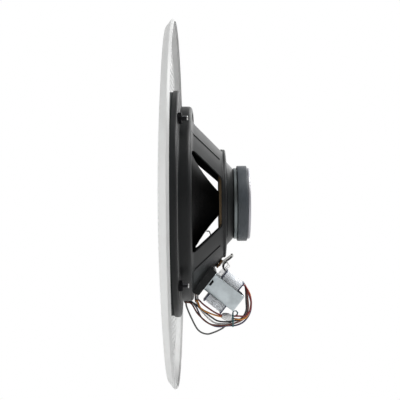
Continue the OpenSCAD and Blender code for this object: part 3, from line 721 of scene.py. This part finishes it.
def make_painted_groove_shade():
    """Painted shade: a dark matt strip in each of the four pressed beads of the spokes, where the beads lie
    in shade.
    """
    bare_end, tip_half, steps = 2.6, 0.05, 32
    run = Vector((SLOPE_END_X - SLOPE_X, SLOPE_END_R - SLOPE_R)).normalized()
    inward = Vector((run.y, -run.x)) * BEAD_DEPTH
    start = Vector((SLOPE_X, SLOPE_R)) + run * bare_end + inward
    end = Vector((SLOPE_END_X, SLOPE_END_R)) - run * bare_end + inward
    bm = bmesh.new()
    for a in DIAGONALS:
        out, side = outwards(a), Vector((0, math.cos(a), math.sin(a)))
        rows = []
        for i in range(steps + 1):
            t = (1 - math.cos(math.pi * i / steps)) / 2
            place = start.lerp(end, t)
            far = (end - start).length * min(t, 1 - t)
            rounding = math.sqrt(max(0.0, 1 - (1 - min(1, far / BEAD_HALF_W)) ** 2))
            half = tip_half + (BEAD_HALF_W - tip_half) * rounding
            middle = X_WAY * place.x + out * place.y
            rows.append([bm.verts.new((middle + side * half * k) * MM) for k in (-1, 0, 1)])
        skin(bm, rows, closed=False)
    add_piece(bm, "groove_shade_strips", PAINTED_GROOVE_SHADE, "basket_paint")


SECTORS, SECTOR_STEPS = 12, 15


def bending_sectors(name, node, profile, shader):
    """A turned soft piece in sectors, each a piece of its own."""
    for k in range(SECTORS):
        bm = bmesh.new()
        rows = []
        for i in range(SECTOR_STEPS + 1):
            a = 2 * math.pi * (k + i / SECTOR_STEPS) / SECTORS
            s, c = math.sin(a), math.cos(a)
            rows.append([bm.verts.new(Vector((x, -r * s, r * c)) * MM) for r, x in profile])
        skin(bm, rows)
        add_bending_piece(bm, f"{name}_{k + 1}", shader, node, angle=60)


COLLAR_X = 44.9


def make_spider():
    """The corrugated suspension, with smooth waves and its brown collar, which shows in the windows."""
    neck_r, flat_r, ledge_r = 9.95, 39.0, 46.2
    wave, waves, per_wave, cloth_t = 1.1, 6, 10, 0.33
    mid, rim_x = foot_of("spider") + wave + 0.17, top_of("spider")
    line = [(neck_r, mid + 1.2), (neck_r + 0.25, mid + 0.3)]
    for i in range(waves * per_wave + 1):
        r = neck_r + 1.0 + (flat_r - neck_r - 1.0) * i / (waves * per_wave)
        line.append((r, mid - wave * math.cos(2 * math.pi * i / per_wave)))
    line += [(flat_r + 0.8, rim_x - 0.75), (flat_r + 1.6, rim_x - 0.45), (ledge_r, rim_x - 0.75)]
    collar = [(ledge_r + 0.2, COLLAR_X), (ledge_r + 0.7, COLLAR_X), (ledge_r + 0.9, rim_x - 0.6)]
    back = [(r, x + cloth_t) for r, x in reversed(line)]
    profile = line + collar + back
    bending_sectors("spider_sector", "spider", profile, SPIDER_CLOTH)


NECK_R, NECK_X, CONE_R, CONE_T = 9.82, 45.85, 77.0, 0.68
CONE_SLOPE, CONE_CURVE = 0.93, 0.0063


def cone_x(r):
    """The place along X of the cone's back at a radius."""
    return NECK_X - CONE_SLOPE * (r - NECK_R) + CONE_CURVE * (r - NECK_R) ** 2


def make_cone():
    """The cone, with a felted, slightly ribbed back."""
    rings, rib, rib_rate = 60, 0.09, 1.1
    radii = [NECK_R + (CONE_R - NECK_R) * i / rings for i in range(rings + 1)]
    back = [(r, cone_x(r) + (rib * math.sin(r * rib_rate) if 22 < r < 70 else 0)) for r in radii]
    front = [(r, cone_x(r) - CONE_T) for r in reversed(radii)]
    bm = bmesh.new()
    turn(bm, back + front, 180)
    add_piece(bm, "paper_cone", CONE_PAPER, "cone_paper", "cone", MOVING_BODY)


def make_surround():
    """The roll of cloth round the cone."""
    cloth_t, roll, glue_w, glue_t = 0.4, 4.2, 2.0, 0.03
    flat_x = top_of("surround") - cloth_t
    outer_r, rim_r = min(radii_of("gasket")) - 0.8, max(radii_of("surround"))
    mid_r, half = (CONE_R + outer_r) / 2, (outer_r - CONE_R) / 2
    line = [(r, cone_x(r) - CONE_T - glue_t - cloth_t) for r in (CONE_R - glue_w, CONE_R)]
    for degrees in range(150, 25, -5):
        a = math.radians(degrees)
        line.append((mid_r + half * math.cos(a), flat_x - roll * math.sin(a)))
    line += [(outer_r, flat_x), (rim_r, flat_x)]
    profile = line + [(r, x + cloth_t) for r, x in reversed(line)]
    bending_sectors(
        "surround_sector", "surround", profile, SURROUND_CLOTH
    )


def make_tinsel(name, side):
    """A braided wire from the cone to the lug's tail."""
    points = [[c / MM for c in v.co] for v in NODES[name].data.vertices]
    low, glue_z = min(z for _, _, z in points), -25
    glued_x = next(x for x, _, z in points if abs(z - glue_z) < 1.2)
    foot_xs = [x for x, _, z in points if z < low + 0.8]
    foot_x = sum(foot_xs) / len(foot_xs)
    route = vectors(
        (glued_x, side * 5, glue_z), (glued_x + 2.5, side * 5, glue_z - 0.4), (38, side * 6, -30.5),
        (39.5, side * 6, -36), (40.5, side * 6, -42),
        (foot_x, side * 6, low + 4), (foot_x, side * 6, low + 0.3),
    )
    centres = mm(smooth_route(route, 12))
    strand_count, strand_r, lay_r, lay_turn = 4, 0.3, 0.24, 0.9
    bm = bmesh.new()
    for k in range(strand_count):
        wound = []
        for i, c in enumerate(centres):
            t = heading(centres, i)
            across = t.cross(Y_WAY).normalized()
            a = lay_turn * i + 2 * math.pi * k / strand_count
            wound.append(c + (across * math.cos(a) + t.cross(across) * math.sin(a)) * lay_r * MM)
        sweep(bm, wound, circle(strand_r * MM, 6))
    add_bending_piece(bm, name + "_braid", TINSEL_BRAID, name)


def make_disc(name, node, bore_r, outer_r, x1, x2, edge, shader, slot):
    """A flat ring between x1 and x2 with rounded edges."""
    bm = bmesh.new()
    turn(bm, rounded([(bore_r, x1), (outer_r, x1), (outer_r, x2), (bore_r, x2)], edge, 5), 160)
    add_piece(bm, name, shader, slot, node)


MAGNET_R, MAGNET_BORE_R = 34, 16
PLATE_R, PLATE_CLEAR = 32, 0.01
GAP_R, POLE_SEAT_R = 11, 5.05


def make_magnet():
    """The ferrite ring between two zinc-plated plates, which stay just clear of it."""
    ring, front, rear = ((foot_of(node), top_of(node)) for node in ("magnet", "top_plate", "back_plate"))
    make_disc("ferrite_ring", "magnet", MAGNET_BORE_R, MAGNET_R, *ring, 1.0, FERRITE, "ferrite")
    x1, x2 = front[0], front[1] - PLATE_CLEAR
    make_disc("front_plate", "top_plate", GAP_R, PLATE_R, x1, x2, 0.5, SHADED_ZINC, "zinc_steel")
    x1, x2 = rear[0] + PLATE_CLEAR, rear[1]
    make_disc("rear_plate", "back_plate", POLE_SEAT_R, PLATE_R, x1, x2, 0.9, BACK_ZINC, "zinc_steel")


make_studs()
make_nuts()
make_painted_groove_shade()
make_spider()
make_cone()
make_surround()
make_tinsel("tinsel_left", -1)
make_tinsel("tinsel_right", 1)
make_magnet()


# The transformer

LEG_MID = 10.0
BRACKET_T, BRACKET_W, FOOT_L = 0.9, 16.3, 9.0
FILM_W = CORE_W - 2 * CORE_LEG - 0.6
FLANGE_OVERHANG = 0.5


def pad_prism(bm, outline, half, edge=0.15):
    """A plate between X = -half and half of the pad's frame, from an outline of (Y, Z), its edges broken."""
    inner = []
    count = len(outline)
    for i in range(count):
        a, b, c = (Vector(outline[(i + k) % count]) for k in (-1, 0, 1))
        n1, n2 = (Vector((-(q - p).y, (q - p).x)).normalized() for p, q in ((a, b), (b, c)))
        v = b + (n1 + n2) * edge / (1 + n1.dot(n2))
        inner.append((v.x, v.y))
    levels = ((-half, inner), (edge - half, outline), (half - edge, outline), (half, inner))
    rings = [[bm.verts.new(pad_point(x, y, z) * MM) for y, z in line] for x, line in levels]
    skin(bm, rings, ends=True)


def make_bracket():
    """The strap over the core, bent from one strip."""
    play = 0.02
    inner, top = CORE_W / 2 + play, CORE_TOP + play
    outer = inner + BRACKET_T
    foot = outer + FOOT_L
    cut, inside, outside = 0.1, 0.5, 1.4
    corners = [
        (-foot, 0, cut), (-inner, 0, outside), (-inner, top, inside),
        (inner, top, inside), (inner, 0, outside), (foot, 0, cut),
        (foot, BRACKET_T, cut), (outer, BRACKET_T, inside), (outer, top + BRACKET_T, outside),
        (-outer, top + BRACKET_T, outside), (-outer, BRACKET_T, inside), (-foot, BRACKET_T, cut),
    ]
    outline = rounded([corner[:2] for corner in corners], [corner[2] for corner in corners])
    bm = bmesh.new()
    pad_prism(bm, outline, BRACKET_W / 2)
    add_piece(bm, "bent_bracket", BRACKET_ZINC, "bracket_steel", "bracket")


def make_bobbin():
    """The bobbin: two flanges round the core's middle leg, and the coil's tube between them."""
    bm = bmesh.new()
    play, wall, flange_t = 0.15, 1.2, 1.0
    core_half, width = CORE_T / 2 + play, FILM_W / 2
    length = WINDING_T / 2 + FLANGE_OVERHANG
    nose = ((core_half, 0), (length - 1.6, 0), (length - 0.5, 0.5), (length, 1.6))

    def box(side, y1, y2, z1, z2, half):
        outline = [(side * y1, z1), (side * y2, z1), (side * y2, z2), (side * y1, z2)]
        pad_prism(bm, outline if side > 0 else outline[::-1], half, 0.05)

    def flange(z1, z2):
        outline = rounded([(-width, z1), (width, z1), (width, z2), (-width, z2)], 0.2, 2)
        for side in (-1, 1):
            rings = []
            for x, inset in nose:
                narrow = (width - inset) / width
                rings.append([bm.verts.new(pad_point(side * x, y * narrow, z) * MM) for y, z in outline])
            skin(bm, rings, ends=True)
        for side in (-1, 1):
            box(side, LEG_MID / 2 + play, width, z1, z2, core_half)

    flange(BOBBIN_Z1, BOBBIN_Z1 + flange_t)
    flange(BOBBIN_Z2 - flange_t, BOBBIN_Z2)
    for side in (-1, 1):
        box(side, LEG_MID / 2 + play, LEG_MID / 2 + wall, BOBBIN_Z1, BOBBIN_Z2, CORE_T / 2 + wall)
    add_piece(bm, "bobbin_flanges", BOBBIN_NYLON, "bobbin_plastic", "bobbin")


def band(bm, length, width, wave, seed, lids):
    """A closed band round the coil, its middle a little fuller than its ends, with creases of height wave."""
    random.seed(seed)
    ranges = ((0.5, 1.9), (-1.6, 1.6), (0, 6.3), (0.3, 1.0))
    creases = [[random.uniform(*limits) for limits in ranges] for _ in range(9)]
    corner_r, point_gap, rows, belly = 6.6, 0.7, 26, 0.25
    crease_rate, crease_mean = 0.35, 3.2
    low, high = BOBBIN_Z1 + 1.03, BOBBIN_Z2 - 1.03
    half_l, half_w = length / 2, width / 2
    corners = [(-half_l, -half_w), (half_l, -half_w), (half_l, half_w), (-half_l, half_w)]
    outline = rounded(corners, corner_r, 10)
    fine = []
    for a, b in zip(outline, outline[1:] + outline[:1]):
        parts = max(1, int(math.dist(a, b) / point_gap))
        fine += [(a[0] + (b[0] - a[0]) * k / parts, a[1] + (b[1] - a[1]) * k / parts) for k in range(parts)]
    rings = []
    for j in range(rows + 1):
        t = j / rows
        z = low + (high - low) * t
        ring = []
        for i, (x, y) in enumerate(fine):
            n = Vector((x, y)).normalized()
            folds = sum(k * abs(math.sin(u * i * crease_rate + v * z + p)) for u, v, p, k in creases)
            grow = wave * (folds / crease_mean - 1) - belly * (1 - math.sin(math.pi * t))
            ring.append(bm.verts.new(pad_point(x + n.x * grow, y + n.y * grow, z) * MM))
        rings.append(ring)
    skin(bm, rings, ends=lids)


def make_coil():
    """Paper-covered winding under a loose layer of clear film."""
    under_film = 0.9
    bm = bmesh.new()
    band(bm, WINDING_T - under_film, FILM_W - under_film, 0.08, 3, lids=True)
    add_piece(bm, "paper_winding", WINDING_PAPER, "winding_paper", "winding", angle=60)
    bm = bmesh.new()
    band(bm, WINDING_T, FILM_W, 0.5, 8, lids=False)
    add_piece(bm, "wrinkled_film", FILM, "clear_film", "film_wrap", angle=60)


def make_film_tail():
    """The film's loose end, gathered over the upper half of the inner flange and up to the bracket."""
    random.seed(5)
    bm = bmesh.new()
    steps, rows, reach = 26, 14, 5.4
    start, sweep_angle, squareness = 0.52 * math.pi, 0.96 * math.pi, 0.45
    start_inset, start_z = 0.6, 1.4
    gather_l, gather_w = 2.0, 3.6
    flange_half_l, flange_half_w = WINDING_T / 2 + FLANGE_OVERHANG, FILM_W / 2
    grid = []
    for j in range(rows + 1):
        t = j / rows
        half, wide = flange_half_l - gather_l * t**2, flange_half_w - start_inset - gather_w * t**2
        row = []
        for i in range(steps):
            a = start + sweep_angle * i / (steps - 1)
            crease = 0.35 * abs(math.sin(3.5 * a + 5 * t)) + 0.2 * math.sin(9 * a - 3 * t)
            crease += random.uniform(-0.12, 0.12)
            x, y = (math.copysign(abs(v) ** squareness, v) for v in (math.cos(a), math.sin(a)))
            z = BOBBIN_Z1 + start_z - reach * t
            row.append(bm.verts.new(pad_point(x * (half + crease), y * (wide + crease), z) * MM))
        grid.append(row)
    skin(bm, grid, closed=False)
    add_piece(bm, "film_tail", FILM, "clear_film")


LUG_X, LUG_Y, LUG_Z = 56.6, 6, -46.9


def make_solder():
    """A blob of solder where each short lead meets its lug."""
    radius_x, radius_y, radius_z, lumps = 1.15, 1.25, 1.3, 0.12
    bands, sides = 8, 16
    bm = bmesh.new()
    for side in (-1, 1):
        rings = []
        for j in range(1, bands):
            a = math.pi * j / bands
            ring = []
            for k in range(sides):
                b = 2 * math.pi * k / sides
                x = LUG_X + radius_x * math.sin(a) * math.cos(b)
                y = side * LUG_Y + radius_y * math.sin(a) * math.sin(b)
                z = LUG_Z - radius_z * math.cos(a) * (1 + lumps * math.sin(3 * b))
                ring.append(bm.verts.new((x * MM, y * MM, z * MM)))
            rings.append(ring)
        skin(bm, rings, ends=True)
    add_piece(bm, "solder", TIN, "tinned_brass")


def make_fine_wires():
    """The transformer's fine wires, looped once on their way to the lugs: one clear, two bare."""
    wire_r = 0.22
    for i, (side, dx, dz) in enumerate(((-1, 0.0, 0.0), (-1, 1.3, -1.2), (1, 0.4, 0.8))):
        route = vectors(
            (51.5 + dx, side * 5.0, -62.5 + dz), (49.8 + dx, side * 5.6, -59.0),
            (53.2 + dx, side * 6.4, -55.2 + dz), (50.6 + dx, side * 6.8, -52.6),
            (52.6 + dx, side * 6.4, -49.6 + dz), (56.2, side * 6.2, -47.6),
        )
        bm = bmesh.new()
        sweep(bm, mm(smooth_route(route, 8)), circle(wire_r * MM, 8))
        shader, slot = (TIN, "tinned_brass") if i else (LEAD_PLASTIC["clear"], "clear_plastic")
        add_piece(bm, f"fine_wire_{i + 1}", shader, slot)


make_bracket()
make_bobbin()
make_coil()
make_film_tail()
make_solder()
make_fine_wires()


# The twisted tie round the leads

TIE_X, TIE_Z = 57.0, -105.75
TIE_REACH, TIE_HALF_W = 2.6, 3.05
TWIST_TURNS, TWIST_L, TWIST_R, CURL_R = 2.5, 7.0, 0.34, 2.1
TIE_SECTION = [
    (-0.7, -0.1), (-0.3, -0.12), (0, -0.28), (0.3, -0.12), (0.7, -0.1),
    (0.7, 0.1), (0.3, 0.12), (0, 0.28), (-0.3, 0.12), (-0.7, 0.1),
]


def tie_strip(bm, centres, sides):
    """The tie's flat section along the centres, its width turned to the given sides."""
    rings = []
    for i, c in enumerate(centres):
        t = heading(centres, i)
        w = (sides[i] - t * sides[i].dot(t)).normalized()
        n = t.cross(w)
        rings.append([bm.verts.new((c + w * a + n * b) * MM) for a, b in TIE_SECTION])
    skin(bm, rings, ends=True)


def make_tie():
    """A flat plastic strip with a wire in it: a loop round the bundle, and its two ends twisted together."""
    top = TIE_Z + TIE_REACH + TIE_HALF_W
    loop_steps, twist_steps, straight, curl = 24, 40, 0.15, 1.45 * math.pi
    bm = bmesh.new()
    for side in (-1, 1):
        centres, sides = [], []
        for i in range(loop_steps + 1):
            a = math.pi * i / loop_steps
            bend = TIE_REACH if a > math.pi / 2 else -TIE_REACH
            y, z = side * TIE_HALF_W * math.sin(a), TIE_Z + bend - TIE_HALF_W * math.cos(a)
            centres.append(Vector((TIE_X, y, z)))
            sides.append(X_WAY)
        for i in range(1, twist_steps + 1):
            t = i / twist_steps
            a = TWIST_TURNS * 2 * math.pi * t + (0 if side > 0 else math.pi)
            bent = curl * max(0, t - straight) / (1 - straight)
            base = Vector((TIE_X, 0, top + TWIST_L * straight * min(1, t / straight)))
            base += Vector((CURL_R * (1 - math.cos(bent)), 0, CURL_R * math.sin(bent)))
            centres.append(base + (X_WAY * math.cos(a) + Y_WAY * math.sin(a)) * TWIST_R)
            sides.append(Y_WAY * math.cos(a) - X_WAY * math.sin(a))
        tie_strip(bm, centres, sides)
    add_piece(bm, "twisted_tie", LEAD_PLASTIC["teal"], "tie_plastic", "lead_tie")


def make_sleeve():
    """A fat white sleeve pushed over the orange and the red lead beside the tie."""
    start, end = Vector((47.0, -1.9, -101.0)), Vector((56.4, -0.6, -103.4))
    steps, flat = 28, 0.9
    length = (end - start).length
    along = (end - start).normalized()
    side = along.cross(Y_WAY).normalized()
    over = along.cross(side)
    line = [
        (0, 1.9), (0, 2.2), (0.8, 2.7), (length * 0.3, 3.3), (length * 0.6, 3.5),
        (length - 1.6, 3.0), (length - 0.4, 2.3), (length, 1.9),
    ]
    bm = bmesh.new()
    rows = []
    for i in range(steps):
        a = 2 * math.pi * i / steps
        out = side * math.cos(a) + over * math.sin(a) * flat
        rows.append([bm.verts.new((start + along * t + out * r) * MM) for t, r in line])
    skin(bm, rows, around=True)
    add_piece(bm, "lead_sleeve", LEAD_PLASTIC["white"], "white_plastic")


make_tie()
make_sleeve()


# Finishes of the CAD nodes that stay

FINISHES = {
    "foam_ring": FOAM, "gasket": GASKET_BOARD, "basket": BLACK_PAINT, "dust_cap": CONE_PAPER,
    "coil_former": FORMER_PAPER, "voice_coil": COPPER, "pole_piece": SHADED_ZINC, "plate_rivets": SHADED_ZINC,
    "terminal_board": FIBRE_BOARD, "terminal_lugs": TIN, "terminal_rivet": TIN,
    "transformer_core": CORE_STEEL, "bracket_screws": BLACK_STEEL,
    "lead_black_short": LEAD_PLASTIC["black"], "lead_clear_short": LEAD_PLASTIC["clear"],
}
for node, shader in FINISHES.items():
    give(NODES[node], shader)
    smooth_up_to(NODES[node].data, 30)


# Grille

MESH_PITCH = 5.2
MESH_ROW = MESH_PITCH * math.sqrt(3) / 2
MESH_HOLE_R = 1.65
HOLE_SIDES = 10
FACE_STEPS = 360
SCREW_HOLE_STEPS = 24
SCREW_CLEAR = 8.0
PLAIN_EDGE = 3.6
SCREWS = [Vector(c) for c in circle(SCREW_R, 4)]


def cell_centre(col, row):
    """The centre of a cell of the staggered pattern, every other row set half a pitch aside."""
    return Vector((MESH_PITCH * (col + (row % 2) / 2), MESH_PITCH * row * math.sqrt(3) / 2))


def grille_cells():
    """Centres of the staggered holes that lie wholly on the face and clear of the ceiling screws."""
    rows = int(FACE_R / MESH_ROW) + 1
    for row in range(-rows, rows + 1):
        for col in range(-rows - 2, rows + 3):
            p = cell_centre(col, row)
            if p.length < FACE_R - PLAIN_EDGE and min((p - s).length for s in SCREWS) > SCREW_CLEAR:
                yield p


def key(p):
    """The rounded place of a point of the face, which neighbouring cells share."""
    return round(p.x, 3), round(p.y, 3)


class Sheet:
    """The grille's sheet: points of the face become vertices on its domed front and back."""

    def __init__(self):
        self.bm, self.made = bmesh.new(), {}

    def vert(self, p, back):
        place = (*key(p), back)
        if place not in self.made:
            r = p.length
            x = DOME_X + (GRILLE_T + dome_drop(r, DOME_R - GRILLE_T) if back else dome_drop(r))
            self.made[place] = self.bm.verts.new((x * MM, p.x * MM, p.y * MM))
        return self.made[place]

    def patch(self, points):
        for back in (False, True):
            self.bm.faces.new([self.vert(p, back) for p in points])

    def wall(self, points):
        for a, b in zip(points, points[1:] + points[:1]):
            corners = ((a, False), (b, False), (b, True), (a, True))
            self.bm.faces.new([self.vert(p, back) for p, back in corners])


def make_cells(sheet):
    """A hexagon with a hole for each cell. Returns the sides of the outermost hexagons."""
    sixths = [k * math.pi / 3 for k in range(6)]
    corner = [Vector((math.sin(a), math.cos(a))) * MESH_PITCH / math.sqrt(3) for a in sixths]
    edges = {}
    for centre in grille_cells():
        hexagon = [centre + c for c in corner]
        hole = [centre + Vector(c) for c in circle(MESH_HOLE_R, HOLE_SIDES)]
        hole = hole[::-1]
        # Each side of the cell takes the stretch of the hole that faces it
        start = [min(range(HOLE_SIDES), key=lambda i: (hole[i] - h).length) for h in hexagon]
        for k in range(6):
            n = (k + 1) % 6
            steps = (start[n] - start[k]) % HOLE_SIDES
            stretch = [hole[(start[k] + i) % HOLE_SIDES] for i in range(steps + 1)]
            sheet.patch([hexagon[k]] + stretch + [hexagon[n]])
        sheet.wall(hole)
        for here, there in zip(hexagon, hexagon[1:] + hexagon[:1]):
            a, b = key(here), key(there)
            if (b, a) in edges:
                del edges[(b, a)]
            else:
                edges[(a, b)] = (here, there)
    return edges.values()


def in_a_cell(p, kept):
    """Whether a point of the face lies in one of the kept cells."""
    row = round(p.y / MESH_ROW)
    for r in (row - 1, row, row + 1):
        col = round(p.x / MESH_PITCH - (r % 2) / 2)
        for c in (col - 1, col, col + 1):
            centre = cell_centre(c, r)
            if key(centre) in kept and inside_hexagon(p - centre):
                return True
    return False


def inside_hexagon(d):
    sides = ((math.cos(k * math.pi / 3), math.sin(k * math.pi / 3)) for k in range(3))
    return all(abs(d.x * c + d.y * s) < MESH_PITCH / 2 for c, s in sides)


def make_plain_strip(sheet, borders, loops):
    """The plain sheet between the outermost cells, the face's edge and the ceiling screws' holes."""
    points, index, lines = [], {}, []

    def number(p):
        if key(p) not in index:
            index[key(p)] = len(points)
            points.append(p)
        return index[key(p)]

    for a, b in borders:
        lines.append((number(a), number(b)))
    for loop in loops:
        for a, b in zip(loop, loop[1:] + loop[:1]):
            lines.append((number(a), number(b)))
    flat, _, faces, *_ = delaunay_2d_cdt(points, lines, [], 0, 1e-4)
    kept = {key(c) for c in grille_cells()}
    for face in faces:
        tri = [flat[i] for i in face]
        centre = sum(tri, Vector((0, 0))) / len(tri)
        in_screw = any((centre - s).length < SCREW_HOLE_R * 0.98 for s in SCREWS)
        if centre.length < FACE_R * 0.9999 and not in_screw and not in_a_cell(centre, kept):
            sheet.patch(tri)


def make_rim(sheet, outer):
    """The bevel and the rim, turned about the axis from the face's edge."""
    front = [(0.5, RIM_X - 0.42), (0.12, RIM_X), (0, RIM_X + 0.5), (0.8, RIM_BACK - 0.15)]
    back = [
        (1.0, RIM_BACK), (1.7, RIM_BACK), (1.85, RIM_BACK - 0.2), (1.15, RIM_X + 0.6), (1.5, RIM_X + 0.1),
    ]
    profile = [(GRILLE_R - inset, x) for inset, x in front + back]
    rings = []
    for p in outer:
        u = p / FACE_R
        turned = [sheet.bm.verts.new((x * MM, u.x * r * MM, u.y * r * MM)) for r, x in profile]
        rings.append([sheet.vert(p, False)] + turned + [sheet.vert(p, True)])
    skin(sheet.bm, rings, closed=False, around=True)


def make_grille():
    """The perforated sheet with its domed face, bevel and rim."""
    sheet = Sheet()
    outer = [Vector(c) for c in circle(FACE_R, FACE_STEPS)]
    screw_holes = [[s + Vector(c) for c in circle(SCREW_HOLE_R, SCREW_HOLE_STEPS)] for s in SCREWS]
    borders = make_cells(sheet)
    make_plain_strip(sheet, borders, [outer] + screw_holes)
    for hole in screw_holes:
        sheet.wall(hole)
    make_rim(sheet, outer)
    add_piece(sheet.bm, "perforated_grille", ENAMEL, "grille_paint", "grille", angle=28)


make_grille()


# Light and background

FLOOR_Z = CAD_BOX[0][2] - 0.001
ROOM_LIGHT = 0.24


def make_stage():
    """A pale floor with a backdrop. The camera sees them as plain white."""
    size, up, bend, steps = 3.0, 2.5, 0.6, 12
    angles = [math.pi / 2 * k / steps for k in range(steps + 1)]
    curve = [(size - bend + bend * math.sin(a), bend - bend * math.cos(a)) for a in angles]
    line = [(-size, 0.0)] + curve + [(size, up)]
    bm = bmesh.new()
    skin(bm, [[bm.verts.new((x, y, FLOOR_Z + z)) for x in (-size, size)] for y, z in line], closed=False)
    floor = new_object("floor", bm)
    s = Shader("pale floor", (0.85, 0.85, 0.85), 0.7)
    s.bump(s.noise(40, 2), 0.0002, 0.1)
    path = ("Is Camera Ray", "Is Glossy Ray", "Is Transmission Ray")
    camera, glossy, clear = (s.node("ShaderNodeLightPath", output=name) for name in path)
    white = s.node("ShaderNodeEmission", {"Color": (1, 1, 1, 1), "Strength": 1.0})
    lit = Value(s, s.main.outputs[0])
    mixed = s.node("ShaderNodeMixShader", {0: camera + glossy + clear, 1: lit, 2: white})
    s.link(mixed, s.tree.nodes["Material Output"].inputs["Surface"])
    give(floor, s)


def area_light(name, place, aim, size, watts):
    """A square lamp, its size in metres, turned to the place that it aims at."""
    data = bpy.data.lights.new(name, "AREA")
    data.shape, data.size, data.energy = "SQUARE", size, watts
    obj = bpy.data.objects.new(name, data)
    bpy.context.scene.collection.objects.link(obj)
    place, aim = Vector(place), Vector(aim)
    obj.matrix_world = Matrix.Translation(place) @ (aim - place).to_track_quat("-Z", "Y").to_matrix().to_4x4()


def make_world():
    """Soft light from all round. The camera sees it as white, also through the film."""
    world = bpy.data.worlds.new("studio")
    world.use_nodes = True
    nodes = Nodes(world.node_tree)
    path = ("Is Camera Ray", "Is Transmission Ray")
    camera, clear = (nodes.node("ShaderNodeLightPath", output=name) for name in path)
    background = world.node_tree.nodes["Background"]
    nodes.link((1, 1, 1, 1), background.inputs["Color"])
    nodes.link(nodes.between(camera.maths("MAXIMUM", clear), ROOM_LIGHT, 1.0), background.inputs["Strength"])
    bpy.context.scene.world = world


make_stage()
make_world()
area_light("key", (0.75, -0.2, 1.1), (0.03, 0, 0), 0.6, 17)
area_light("fill", (-1.1, -0.7, 0.2), (0, 0, 0), 0.9, 13)
area_light("backdrop", (0.75, 0.9, 0.75), (0.03, 0, 0), 1.1, 7)
bpy.context.scene.view_settings.view_transform = "Standard"
